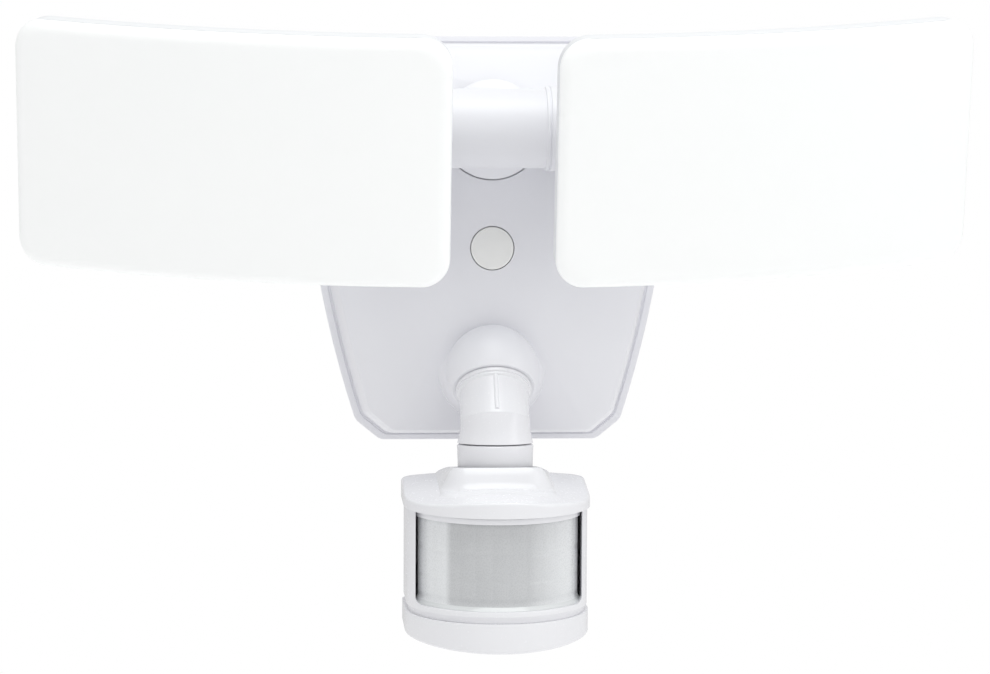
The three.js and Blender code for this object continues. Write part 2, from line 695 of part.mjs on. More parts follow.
function panCollar() {
  const top = ARM.seamZ - 0.5;
  const low = COLLAR.bottomZ;
  const at = (z) => [0, tubeY, z];
  const skirt = join(
    bar(at(top), at(top - 1.6), COLLAR.topR, COLLAR.topR, ROUND),
    bar(at(top - 1.5), at(low), COLLAR.topR - 0.5, COLLAR.bottomR, ROUND),
  );
  const spigot = bar(at(top - 1), at(top + 5.5), COLLAR.spigotR, COLLAR.spigotR - 0.4, ROUND);
  const tongue = join(
    block([-5, tubeY - 6, SENSOR.tiltZ], [5, tubeY + 6, low + 1.9]),
    bar([-5, tubeY, SENSOR.tiltZ], [5, tubeY, SENSOR.tiltZ], 6, 6, ROUND_MID),
  );
  const bore = bar(at(low + 2.4), at(top + 10), 8.6, 8.6, ROUND_MID);
  const cableWay = bar([0, tubeY - 8, low], [0, tubeY - 8, low + 6], 1.6, 1.6, 8);
  const earRoom = bar([-9.2, tubeY, SENSOR.tiltZ], [9.2, tubeY, SENSOR.tiltZ], 4.7, 4.7, ROUND_MID);
  return cut(join(cut(join(skirt, spigot), earRoom), tongue), bore, cableWay, tiltPinHole(2.3));
}

const tiltPinHole = (r) => bar([-20, tubeY, SENSOR.tiltZ], [20, tubeY, SENSOR.tiltZ], r, r, ROUND_SMALL);

// ---------------------------------------------------------------- sensor, with the tilt pin as its origin
/** The D-shaped plan of the sensor: a half circle in front and straight sides. */
function sensorPlan(inset) {
  const radius = SENSOR.r - inset;
  const centre = SENSOR.r - SENSOR.front;
  const points = [];
  const turns = 14;
  for (let i = 0; i <= turns; i++) {
    const angle = Math.PI * (i / turns);
    points.push([-radius * Math.cos(angle), centre - radius * Math.sin(angle)]);
  }
  const corner = 4;
  const back = SENSOR.back - inset;
  for (let i = 0; i <= 2; i++) {
    const angle = (Math.PI / 2) * (i / 2);
    points.push([radius - corner + corner * Math.cos(angle), back - corner + corner * Math.sin(angle)]);
  }
  for (let i = 2; i >= 0; i--) {
    const angle = (Math.PI / 2) * (i / 2);
    points.push([-radius + corner - corner * Math.cos(angle), back - corner + corner * Math.sin(angle)]);
  }
  return points;
}

/** A ring of the sensor's plan at a height, which may fall towards the front. */
function planRing(inset, z, fall = 0) {
  const drop = (y) => (fall * (SENSOR.back - y)) / SENSOR.front;
  return sensorPlan(inset).map(([x, y]) => new THREE.Vector3(x, y, z - drop(y)));
}

const sensorSlab = (...levels) => loft(levels.map(([inset, z, fall]) => planRing(inset, z, fall)));

function sensorCap() {
  const { roof, roofFall: fall, capBottom: bottom } = SENSOR;
  const shell = cut(
    sensorSlab([-0.5, bottom], [-0.5, roof - 2.1, fall], [0.3, roof - 0.7, fall], [1.6, roof, fall]),
    sensorSlab([1.8, bottom - 1], [1.8, roof - 4.1, fall], [4, roof - 2.5, fall]),
  );
  const rim = 5.9;
  const backRim = 1.3; // the hump's top falls towards the back
  const overHump = [[-17, rim], [SENSOR.back, backRim], [SENSOR.back, 2 * rim], [-17, 2 * rim]];
  const hump = cut(
    join(
      bar([0, 0, -5.2], [0, 0, 5.2], 21, 18.4, ROUND),
      bar([0, 0, 5.1], [0, 0, rim], 18.4, 17.4, ROUND),
      block([-20, -25, -5.2], [20, 0, roof + 0.2]),
    ),
    loft([-30, 30].map((x) => overHump.map(([y, z]) => new THREE.Vector3(x, y, z)))),
  );
  const backTrim = block([-40, SENSOR.back, -20], [40, 60, 20]);
  const well = join(bar([0, 0, -4.9], [0, 0, 10], 16.6), bar([0, 0, -9], [0, 0, -4], 15.8, 15.8, ROUND_MID));
  const ears = [-1, 1].map((side) => {
    const [low, high] = side > 0 ? [5.4, 8.4] : [-8.4, -5.4];
    return join(block([low, -4, -9.4], [high, 4, 0]), bar([low, 0, 0], [high, 0, 0], 4, 4, ROUND_SMALL));
  });
  const floor = ring([0, 0, -9.6], [0, 0, -8], 17.8, 14);
  const skirt = ring([0, 0, -8.8], [0, 0, -3.6], 18.4, 16.6);
  const bridge = [-1, 1].map((side) => {
    const [low, high] = side > 0 ? [5.4, 15] : [-15, -5.4];
    return block([low, -5, -9.6], [high, 5, -7.6]);
  });
  const body = cut(join(shell, cut(hump, backTrim)), well);
  const pinHole = bar([-20, 0, 0], [20, 0, 0], 2.3, 2.3, ROUND_SMALL);
  return cut(join(body, skirt, floor, ...bridge, ...ears), pinHole);
}

function sensorBody() {
  const [top, low] = [SENSOR.capBottom - GAP, SENSOR.bodyBottom];
  const centre = SENSOR.r - SENSOR.front;
  const inside = 0.7 + SENSOR.wall;
  const shell = cut(sensorSlab([0.7, low], [0.7, top]), sensorSlab([inside, low - 1], [inside, top + 1]));
  const window = block([-SENSOR.windowHalf, -60, low + 2.6], [SENSOR.windowHalf, centre - 3, top + 5]);
  return cut(shell, window, block([-26, -60, low - 1], [26, centre - 3, top + 5]));
}

function sensorBezel() {
  const [top, low] = [SENSOR.capBottom - 0.9, SENSOR.bodyBottom + 3];
  const centre = SENSOR.r - SENSOR.front;
  const shell = cut(
    sensorSlab([1.3, low], [1.3, low + 4], [2.2, low + 4.6], [2.2, top]),
    sensorSlab([3.6, low - 1], [3.6, top + 1]),
  );
  const window = block([-29.6, -60, low + 5.4], [29.6, 20, top - 1.2]);
  const back = block([-60, centre - 5, -80], [60, 40, 10]);
  const half = SENSOR.windowHalf - GAP;
  const keep = block([-half, -60, -80], [half, 40, 10]);
  return cut(shell, window, back).intersect(keep);
}

function sensorLens() {
  const [top, low] = [SENSOR.capBottom - 2.3, SENSOR.bodyBottom + 5];
  const centre = SENSOR.r - SENSOR.front;
  const shell = cut(sensorSlab([3.9, low], [3.9, top]), sensorSlab([4.9, low - 1], [4.9, top + 1]));
  return cut(shell, block([-60, centre - 5, -80], [60, 40, 10]));
}

function sensorBase() {
  const [top, low] = [SENSOR.bodyBottom - 0.8, SENSOR.bottom];
  const cup = cut(
    sensorSlab([2.2, low], [0.7, low + 0.8], [0, low + 2.6], [0, top]),
    sensorSlab([3.4, low + 2.4], [2.4, top + 1]),
  );
  const atKnobs = (from, to, r, sides) =>
    knobPlaces.map((x) => bar([x, KNOB.y, from], [x, KNOB.y, to], r, r, sides));
  const wells = atKnobs(low - 1, low + 5, 6.4, ROUND_MID);
  const wellWalls = atKnobs(low + 0.2, low + 6.4, 7.4, ROUND_MID);
  const spindles = atKnobs(low, low + 8, 1.9, ROUND_SMALL);
  const screwHoles = baseScrews.map((x) => bar([x, 10, low - 1], [x, 10, low + 8], 1.7, 1.7, ROUND_SMALL));
  return cut(join(cup, ...wellWalls), ...wells, ...spindles, ...screwHoles);
}

const knobPlaces = [-KNOB.spacing, 0, KNOB.spacing];
const baseScrews = [-24, 24];

/** A small grooved knob with a pointer slot, on a spindle that runs up to the board. */
function knob(x) {
  const low = SENSOR.bottom + 0.3;
  const body = bar([x, KNOB.y, low], [x, KNOB.y, low + KNOB.height], KNOB.r, KNOB.r, ROUND_MID);
  const slot = block([x - 0.6, KNOB.y - 3.4, low - 1], [x + 0.6, KNOB.y + 3.4, low + 1.3]);
  const spindle = bar([x, KNOB.y, low + 2], [x, KNOB.y, SENSOR.bottom + 12.4], 1.6, 1.6, ROUND_SMALL);
  return cut(join(body, spindle), slot);
}

function sensorHead() {
  const head = new THREE.Group();
  head.position.set(0, tubeY, SENSOR.tiltZ);
  head.rotation.x = rad(SENSOR.pitch);
  const boardY = -8;
  const front = boardY - 1.6;
  const onBoard = (x, z, out, r, endR, sides) =>
    bar([x, front - GAP, z], [x, front - out, z], r, endR, sides);
  const detector = join(onBoard(0, -28, 4.2, 4.6, 4.4, ROUND_MID), onBoard(0, -28, 1.2, 5, 5, ROUND_MID));
  head.add(
    piece("sensor_cap", sensorCap(), SENSOR_WHITE),
    piece("sensor_body", sensorBody(), SENSOR_WHITE),
    piece("sensor_bezel", sensorBezel(), SENSOR_WHITE),
    piece("sensor_lens", sensorLens(), FRESNEL),
    piece("sensor_base", sensorBase(), SENSOR_WHITE),
    piece("tilt_pin", bar([-9.4, 0, 0], [9.4, 0, 0], 2, 2, ROUND_SMALL), STEEL),
    piece("sensor_board", block([-25, front, -46.6], [25, boardY, -14]), PCB),
    piece("pir_detector", detector, STEEL),
    piece("light_cell", onBoard(14, -22, 3, 2.5, 2.5, ROUND_SMALL), SILICONE),
    piece("status_led", onBoard(-14, -22, 4, 1.5, 1.1, ROUND_SMALL), DIFFUSER),
  );
  ["time", "lux", "range"].forEach((use, i) => {
    head.add(piece(`${use}_knob`, knob(knobPlaces[i]), PLUG_GREY));
  });
  baseScrews.forEach((x, i) => {
    const body = screw([x, 10, SENSOR.bottom - GAP + 0.2], [0, 0, 1], 3, 0.9, 1.3, 8);
    head.add(piece(`base_screw_${i + 1}`, body, STEEL));
  });
  return head;
}

// ---------------------------------------------------------------- the whole light
const light = new THREE.Group();
light.add(
  piece("canopy", canopy(), WHITE),
  piece("wall_gasket", wallGasket(), RUBBER),
  piece("mounting_strap", mountingStrap(), STEEL),
  piece("centre_bolt", centreBolt(), STEEL),
  piece("bolt_plug", boltPlug(), PLUG_GREY),
  piece("ground_screw", screw([0, -STRAP.thick - GAP, STRAP.groundZ], [0, 1, 0], 3.6, 2, 1.5, 2.6), GREEN),
  piece("driver_case", driverCase(), POTTING),
  piece("hub", hub(), WHITE),
  piece("hub_seal", hubSeal(), RUBBER),
  piece("hub_locknut", hubLocknut(), STEEL),
  piece("head_lead", lead(headLeadRoute, 2, 14), CABLE),
  piece("sensor_lead", lead(sensorLeadRoute, 2, 12), CABLE),
);
["upper", "lower"].forEach((place, i) => {
  const under = [DRIVER.x, -7 + GAP, driverFixings[i]];
  light.add(piece(`driver_screw_${place}`, screw(under, [0, -1, 0], 3, 1.8, 1.3, 9), STEEL));
});
light.add(lampHead("left", -1, HEAD.panLeft), lampHead("right", 1, HEAD.panRight));
light.add(
  piece("swivel_elbow", swivelElbow(), WHITE),
  piece("swivel_retainer", swivelRetainer(), PLUG_GREY),
  piece("pan_collar", panCollar(), WHITE),
);
light.add(sensorHead());

export default light;
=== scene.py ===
# Outdoor security light: two panel lamp heads on a T hub, a wall canopy and a motion sensor on a swivel elbow.
import json
import math

import bpy
from mathutils import Matrix, Vector


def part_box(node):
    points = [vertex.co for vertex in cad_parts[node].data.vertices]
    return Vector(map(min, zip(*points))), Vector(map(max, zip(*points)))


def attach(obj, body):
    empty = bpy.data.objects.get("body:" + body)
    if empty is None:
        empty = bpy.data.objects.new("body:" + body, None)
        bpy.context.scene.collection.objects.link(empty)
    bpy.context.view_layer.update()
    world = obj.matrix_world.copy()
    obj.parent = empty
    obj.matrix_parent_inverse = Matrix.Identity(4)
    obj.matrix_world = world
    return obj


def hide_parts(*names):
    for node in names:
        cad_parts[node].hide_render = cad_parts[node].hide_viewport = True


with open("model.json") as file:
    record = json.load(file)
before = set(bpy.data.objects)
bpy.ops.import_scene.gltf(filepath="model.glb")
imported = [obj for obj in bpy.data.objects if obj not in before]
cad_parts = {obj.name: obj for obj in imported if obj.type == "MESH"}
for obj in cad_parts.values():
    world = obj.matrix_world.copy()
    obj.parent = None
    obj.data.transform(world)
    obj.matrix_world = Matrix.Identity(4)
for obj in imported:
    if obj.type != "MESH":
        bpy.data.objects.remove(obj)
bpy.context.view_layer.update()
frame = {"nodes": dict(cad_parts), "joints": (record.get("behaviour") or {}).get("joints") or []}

MM = 0.001
ROUND = 72  # sides of a turned part
FINE = 40  # sides of a small turned part

# ---------------------------------------------------------------- sizes, in millimetres
joints = {joint["name"]: joint for joint in frame["joints"]}


def joint_place(name):
    return Vector(joints[name]["pos_m"]) / MM


HUB = joint_place("left_head_tilt")
PAN_X = joint_place("right_head_pan").x
HEAD_TILT = -math.atan2(joints["right_head_pan"]["axis"][1], joints["right_head_pan"]["axis"][2])
HEAD_PAN = {"left": math.radians(12), "right": math.radians(13.5)}
HEAD_OUT, HEAD_AHEAD, HEAD_DROP = 42.6, 48.6, 2.4  # face centre from the pan axis
HEAD_HALF = (83.5, 47.5)  # half the length and height of a head
HEAD_BEND = 430  # radius of the face seen from above
SCREW_SPOTS = [(-62, -30), (62, -30), (-62, 30), (62, 30)]

SWIVEL_CENTRE = joint_place("sensor_swing")
SWIVEL_AXIS = Vector(joints["sensor_swing"]["axis"]).normalized()
DOME_R = 17.8
DOME_OPEN = 8.2  # the dome's cut face, along the swivel axis
TUBE_Y = joint_place("sensor_pan").y
TUBE_R = 13.2
SEAM_Z = -73.8  # between the elbow and the pan collar
COLLAR_BOTTOM = -83.6

SENSOR = joint_place("sensor_tilt")
SENSOR_PITCH = -math.atan2(joints["lux_dial_turn"]["axis"][1], joints["lux_dial_turn"]["axis"][2])
PLAN_R = 34.9  # the sensor's half-round front
PLAN_BACK = 17
PLAN_CENTRE = PLAN_R - 44
KNOB_SPOTS = {"time": -15, "lux": 0, "range": 15}
KNOB_Y = -14
SENSOR_BOTTOM = -60.7

STEM_R = 19.2  # foot of the hub's stem, let into the canopy

CANOPY_TOP, CANOPY_BOTTOM = 82.5, -75.4
CANOPY_HALF = 72.6
CANOPY_MIDDLE = (CANOPY_TOP + CANOPY_BOTTOM) / 2
FACE_DEPTH = 31  # the canopy's raised middle


# ---------------------------------------------------------------- working with pieces
def alone(piece):
    """Makes a piece the only one selected, in object mode."""
    if bpy.context.mode != "OBJECT":
        bpy.ops.object.mode_set(mode="OBJECT")
    bpy.ops.object.select_all(action="DESELECT")
    bpy.context.view_layer.objects.active = piece
    if piece:
        piece.select_set(True)


def named(name):
    """The primitive that was just added, under its name."""
    piece = bpy.context.object
    piece.name = name
    piece.data.name = name
    return piece


def select(piece, kind, test):
    """Selects, in edit mode, the faces, edges or verts whose centre and data pass a test."""
    mode = {"verts": "VERT", "edges": "EDGE", "faces": "FACE"}[kind]
    bpy.ops.mesh.select_mode(type=mode)
    bpy.ops.mesh.select_all(action="DESELECT")
    bpy.ops.object.mode_set(mode="OBJECT")
    mesh = piece.data
    if kind == "verts":
        for vert in mesh.vertices:
            vert.select = test(vert.co)
    elif kind == "edges":
        for edge in mesh.edges:
            a, b = (mesh.vertices[i].co for i in edge.vertices)
            edge.select = test(a, b)
    else:
        for face in mesh.polygons:
            face.select = test(face.center, face.normal)
    bpy.ops.object.mode_set(mode="EDIT")


def modify(piece, kind, **settings):
    """Adds a modifier and applies it."""
    alone(piece)
    modifier = piece.modifiers.new(kind.title(), kind)
    for key, value in settings.items():
        setattr(modifier, key, value)
    bpy.ops.object.modifier_apply(modifier=modifier.name)


def soften(piece, width, segments=3, angle=30):
    """Rounds the sharp edges and smooths the shading."""
    modify(
        piece, "BEVEL", width=width * MM, segments=segments, limit_method="ANGLE",
        angle_limit=math.radians(angle), harden_normals=False, use_clamp_overlap=True,
    )
    smooth(piece)


def smooth(piece, angle=38):
    alone(piece)
    bpy.ops.object.shade_smooth_by_angle(angle=math.radians(angle))


def tidy(piece):
    """Merges doubles and turns every face outwards."""
    alone(piece)
    bpy.ops.object.mode_set(mode="EDIT")
    bpy.ops.mesh.select_all(action="SELECT")
    bpy.ops.mesh.remove_doubles(threshold=0.00001)
    bpy.ops.mesh.normals_make_consistent(inside=False)
    bpy.ops.object.mode_set(mode="OBJECT")


def combine(piece, tool, operation):
    """Boolean of a piece with a tool, which is used up."""
    modify(piece, "BOOLEAN", operation=operation, object=tool, solver="EXACT")
    bpy.data.objects.remove(tool)
    return piece


def cut(piece, *tools):
    for tool in tools:
        combine(piece, tool, "DIFFERENCE")
    return piece


def add(piece, *tools):
    for tool in tools:
        combine(piece, tool, "UNION")
    return piece


def copy_of(piece, name):
    twin = piece.copy()
    twin.data = piece.data.copy()
    twin.name = name
    twin.data.name = name
    bpy.context.scene.collection.objects.link(twin)
    return twin


def settle(piece, matrix):
    """Puts a piece where a matrix in millimetres says, and applies its place to its mesh."""
    alone(piece)
    place = matrix.copy()
    place.translation = place.translation * MM
    piece.matrix_world = place
    bpy.ops.object.transform_apply(location=True, rotation=True, scale=True)
    return piece


def aim(origin, direction):
    """The matrix that stands a piece's own Z along a direction, at a place."""
    turn = Vector((0, 0, 1)).rotation_difference(Vector(direction).normalized())
    return Matrix.Translation(Vector(origin)) @ turn.to_matrix().to_4x4()


def turned(name, profile, origin=(0, 0, 0), direction=(0, 0, 1), sides=ROUND, ring=False):
    """A turned part: profile is [height, radius] steps. A ring's last step is bridged to its first."""
    alone(None)
    height, radius = profile[0]
    fill = "NOTHING" if ring else "NGON"
    bpy.ops.mesh.primitive_circle_add(
        vertices=sides, radius=radius * MM, fill_type=fill, location=(0, 0, height * MM)
    )
    piece = named(name)
    bpy.ops.object.transform_apply(location=True, rotation=False, scale=False)
    bpy.ops.object.mode_set(mode="EDIT")
    bpy.ops.mesh.select_all(action="SELECT")
    for next_height, next_radius in profile[1:]:
        bpy.ops.mesh.extrude_region_move(
            TRANSFORM_OT_translate={"value": (0, 0, (next_height - height) * MM)}
        )
        ratio = next_radius / radius
        bpy.ops.transform.resize(value=(ratio, ratio, 1), center_override=(0, 0, next_height * MM))
        height, radius = next_height, next_radius
    if ring:
        bpy.ops.mesh.select_all(action="DESELECT")
        bpy.ops.mesh.select_mode(type="EDGE")
        bpy.ops.mesh.select_non_manifold()
        bpy.ops.mesh.bridge_edge_loops()
    tidy(piece)
    return settle(piece, aim(origin, direction))


def rod(name, start, end, radius, sides=FINE):
    """A plain round cutter or post between two points."""
    start, end = Vector(start), Vector(end)
    return turned(name, [(0, radius), ((end - start).length, radius)], start, end - start, sides)


def block(name, low, high, radius=0, along="Z"):
    """A box between two corners, its edges along one axis rounded."""
    alone(None)
    low, high = Vector(low), Vector(high)
    bpy.ops.mesh.primitive_cube_add(size=1, location=(low + high) / 2 * MM, scale=(high - low) * MM)
    piece = named(name)
    bpy.ops.object.transform_apply(location=True, rotation=True, scale=True)
    if radius:
        axis = "XYZ".index(along)
        bpy.ops.object.mode_set(mode="EDIT")
        select(piece, "edges", lambda a, b: abs(abs((a - b).normalized()[axis]) - 1) < 0.001)
        bpy.ops.mesh.bevel(offset=radius * MM, segments=6, affect="EDGES")
        bpy.ops.object.mode_set(mode="OBJECT")
    return piece


def step(advance, ratio=(1, 1), centre=(0, 0, 0)):
    """Draws the selected section out along Z and resizes it about a centre, all in millimetres."""
    bpy.ops.mesh.extrude_region_move(TRANSFORM_OT_translate={"value": (0, 0, advance * MM)})
    bpy.ops.transform.resize(value=(*ratio, 1), center_override=tuple(c * MM for c in centre))


LYING = Matrix.Rotation(math.pi / 2, 4, "X")  # from a part drawn lying face up to one facing front


# ---------------------------------------------------------------- materials
def linear(colour):
    """sRGB hex to linear RGBA."""
    values = [int(colour[i : i + 2], 16) / 255 for i in (1, 3, 5)]
    return tuple(v / 12.92 if v <= 0.04045 else ((v + 0.055) / 1.055) ** 2.4 for v in values) + (1,)


def node(tree, kind, inputs=None, **settings):
    """Adds a node with its settings, and its inputs set or linked."""
    made = tree.nodes.new(kind)
    for key, value in settings.items():
        setattr(made, key, value)
    for socket, value in (inputs or {}).items():
        if isinstance(value, bpy.types.NodeSocket):
            tree.links.new(value, made.inputs[socket])
        else:
            made.inputs[socket].default_value = value
    return made


def new_material(name):
    material = bpy.data.materials.new(name)
    material.use_nodes = True
    tree = material.node_tree
    shader = tree.nodes["Principled BSDF"]
    place = node(tree, "ShaderNodeTexCoord").outputs["Object"]
    return material, tree, shader, place


def grain_scale(size):
    """Noise scale for a pattern of a real size in millimetres."""
    return 1 / (size * MM)


def surface(name, light, dark, rough, cloud, grain, relief, **sockets):
    """A body colour that drifts slightly over a large scale, with a fine surface grain in the gloss and bump.

    light and dark are the two ends of the drift, rough the two ends of the roughness, cloud the drift's size,
    grain the fine texture's size and relief its height, all in millimetres.
    """
    material, tree, shader, place = new_material(name)
    drift = node(tree, "ShaderNodeTexNoise", {"Vector": place, "Scale": grain_scale(cloud), "Detail": 3})
    fine = node(tree, "ShaderNodeTexNoise", {"Vector": place, "Scale": grain_scale(grain), "Detail": 4})
    colour = node(tree, "ShaderNodeMix", {"Factor": drift.outputs["Fac"]}, data_type="RGBA")
    colour.inputs["A"].default_value = linear(light)
    colour.inputs["B"].default_value = linear(dark)
    gloss = node(
        tree, "ShaderNodeMapRange",
        {"Value": fine.outputs["Fac"], "From Min": 0.3, "From Max": 0.7, "To Min": rough[0], "To Max": rough[1]},
    )
    bump = node(
        tree, "ShaderNodeBump", {"Height": fine.outputs["Fac"], "Strength": 0.5, "Distance": relief * MM}
    )
    tree.links.new(colour.outputs["Result"], shader.inputs["Base Color"])
    tree.links.new(gloss.outputs["Result"], shader.inputs["Roughness"])
    tree.links.new(bump.outputs["Normal"], shader.inputs["Normal"])
    for socket, value in sockets.items():
        shader.inputs[socket.replace("_", " ")].default_value = value
    return material


# Injection-moulded ABS in a satin finish: a soft broad sheen and a spark-eroded texture too fine to see apart.
MOULDED_ABS = surface(
    "moulded_abs_satin_white", "#F1F1F5", "#ECECF1", (0.34, 0.46), 60, 0.7, 0.012, IOR=1.54
)
# The same resin from a polished tool: tighter highlights, hardly any texture.
POLISHED_ABS = surface(
    "moulded_abs_polished_white", "#F1F1F4", "#ECECF0", (0.2, 0.28), 50, 0.9, 0.006, IOR=1.54
)
# Painted die-cast aluminium for the heads' shells: powder coat with a slight orange peel.
POWDER_COAT = surface(
    "powder_coated_aluminium_white", "#EFF0F2", "#EAEBEE", (0.36, 0.5), 40, 1.4, 0.03, IOR=1.5
)
# Opal polycarbonate: light spreads a little inside it, and a faint painted glow (emission, no lamp lit inside) makes
# it look whiter than the powder-coated parts.
OPAL_PAINTED_GLOW = surface(
    "moulded_opal_polycarbonate_painted_glow", "#FDFEFE", "#FAFCFC", (0.28, 0.36), 80, 1.0, 0.006, IOR=1.585
)
opal_glow_shader = OPAL_PAINTED_GLOW.node_tree.nodes["Principled BSDF"]
opal_glow_shader.inputs["Subsurface Weight"].default_value = 0.35
opal_glow_shader.inputs["Subsurface Scale"].default_value = 0.003
opal_glow_shader.inputs["Subsurface Radius"].default_value = (1, 1, 1)
# Painted glow: a weak white emission brightens the covers, though no lamp is lit inside the heads.
opal_glow_shader.inputs["Emission Color"].default_value = linear("#FFFFFF")
opal_glow_shader.inputs["Emission Strength"].default_value = 0.1
# Warm grey ABS plug, left coarse from the tool.
PLUG_ABS = surface("moulded_abs_grey_plug", "#F6F6F4", "#F0F0EE", (0.5, 0.62), 12, 0.6, 0.02, IOR=1.54)
# Closed-cell EPDM foam rubber: dark, dry and pitted.
FOAM_RUBBER = surface("cut_epdm_foam", "#2E2F31", "#232426", (0.8, 0.95), 8, 0.5, 0.08, IOR=1.5)
# Silicone gasket: pale and waxy.
SILICONE = surface("moulded_silicone", "#DADBD8", "#D2D3D0", (0.5, 0.62), 10, 0.6, 0.01, IOR=1.43)
# Zinc-plated steel: bright and slightly cloudy from the plating bath.
ZINC = surface("zinc_plated_steel", "#C9CCCE", "#B3B7BA", (0.22, 0.38), 6, 0.5, 0.006, Metallic=1.0)
# Green-passivated steel for the earthing screw.
GREEN_ZINC = surface("green_passivated_steel", "#3F9A58", "#2C7A43", (0.3, 0.45), 5, 0.5, 0.006, Metallic=0.8)
# Fire-retardant nylon driver case.
DRIVER_NYLON = surface("moulded_black_nylon", "#2A2C2F", "#202225", (0.5, 0.65), 20, 0.8, 0.02, IOR=1.53)
# PVC-sheathed lead.
PVC = surface("extruded_white_pvc", "#E2E3E4", "#D8D9DB", (0.4, 0.5), 15, 0.6, 0.01, IOR=1.53)
# Polished white reflector plastic.
REFLECTOR = surface("moulded_white_reflector", "#F8F8F6", "#F2F2F0", (0.22, 0.3), 30, 1.0, 0.004, IOR=1.58)
# Aluminium LED board under white solder mask.
LED_BOARD = surface("white_solder_mask", "#F2F2EC", "#E8E8E0", (0.35, 0.45), 10, 0.5, 0.006, IOR=1.5)
# Glass-fibre circuit board under green solder mask.
CIRCUIT_BOARD = surface("green_solder_mask", "#2E6B45", "#255A39", (0.3, 0.42), 8, 0.5, 0.01, IOR=1.5)
# Milky polyethylene of the sensor's segmented lens: waxy, grey over the dark inside.
FRESNEL_PE = surface(
    "moulded_polyethylene_fresnel", "#CACBCD", "#C0C2C4", (0.24, 0.32), 14, 0.5, 0.008, IOR=1.54,
    Sheen_Weight=1.0, Sheen_Roughness=0.4,
)
# Painted sheen: the base colour turns paler towards the lens's sides, where side light catches it, sharply on the
# left and gradually on the right; the middle keeps the grey of the dark sensor showing through.
tree = FRESNEL_PE.node_tree
shader = tree.nodes["Principled BSDF"]
across = node(
    tree, "ShaderNodeSeparateXYZ", {"Vector": node(tree, "ShaderNodeTexCoord").outputs["Object"]}
).outputs["X"]
left_painted_sheen = node(
    tree, "ShaderNodeMapRange", {"Value": across, "From Min": -18.6 * MM, "From Max": -20.6 * MM}
).outputs["Result"]
right_painted_sheen = node(
    tree, "ShaderNodeMapRange", {"Value": across, "From Min": 10 * MM, "From Max": 24 * MM, "To Max": 0.9}
).outputs["Result"]
# Mask of the painted sheen: where the lens is painted paler for the side light falling on it.
outside = node(tree, "ShaderNodeMath", {0: left_painted_sheen, 1: right_painted_sheen}, operation="MAXIMUM").outputs["Value"]
painted_sheen_colour = node(tree, "ShaderNodeMix", {"Factor": outside}, data_type="RGBA")
tree.links.new(shader.inputs["Base Color"].links[0].from_socket, painted_sheen_colour.inputs["A"])
painted_sheen_colour.inputs["B"].default_value = linear("#E6E8EA")
tree.links.new(painted_sheen_colour.outputs["Result"], shader.inputs["Base Color"])
# The lens's plain rim: the same polyethylene, polished and brighter.
RIM_PE = surface(
    "polished_polyethylene_rim", "#E4E6E7", "#DADDDE", (0.1, 0.16), 14, 0.8, 0.004, IOR=1.54
)


def dress(piece, material, body, stands_for=()):
    """Gives a finished piece its material and its body, and hides the CAD nodes it stands for."""
    piece.data.materials.clear()
    piece.data.materials.append(material)
    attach(piece, body)
    if stands_for:
        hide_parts(*stands_for)
    return piece


# ---------------------------------------------------------------- canopy
def side_half_width(height):
    """Half the canopy's width at a height: straight at the top, closing in on an arc lower down."""
    side_centre, side_radius = 58, 385
    return CANOPY_HALF - max(0, side_centre - height) ** 2 / (2 * side_radius)


def canopy_outline(name, inset):
    """The canopy's outline lying face up: a plate whose sides are drawn in along their arcs."""
    alone(None)
    corner_start, bottom_half, cuts = -67.5, 42.5, 15
    top, bottom = CANOPY_TOP - inset, CANOPY_BOTTOM + inset
    low = corner_start + inset * 0.5
    bpy.ops.mesh.primitive_plane_add(size=2 * MM)
    piece = named(name)
    bpy.ops.object.mode_set(mode="EDIT")
    select(piece, "edges", lambda a, b: abs(a.x - b.x) < 1e-6)
    bpy.ops.mesh.subdivide(number_cuts=cuts)
    bpy.ops.object.mode_set(mode="OBJECT")
    for vert in piece.data.vertices:
        side = 1 if vert.co.x > 0 else -1
        share = (vert.co.y / MM + 1) / 2 * (cuts + 1)
        if share < 0.5:
            vert.co = (side * (bottom_half - inset * 0.6) * MM, bottom * MM, 0)
        else:
            height = low + (top - low) * (share - 1) / cuts
            vert.co = (side * (side_half_width(height) - inset) * MM, height * MM, 0)
    bpy.ops.object.mode_set(mode="EDIT")
    select(piece, "verts", lambda co: co.y < (low + 0.1) * MM)
    bpy.ops.mesh.bevel(offset=(1.5 + inset * 0.25) * MM, segments=4, affect="VERTICES")
    top_corner = 12 - inset * 0.4
    select(piece, "verts", lambda co: co.y > (top - 0.5) * MM)
    bpy.ops.mesh.bevel(offset=top_corner * MM, segments=10, affect="VERTICES")
    bpy.ops.mesh.select_all(action="SELECT")
    return piece


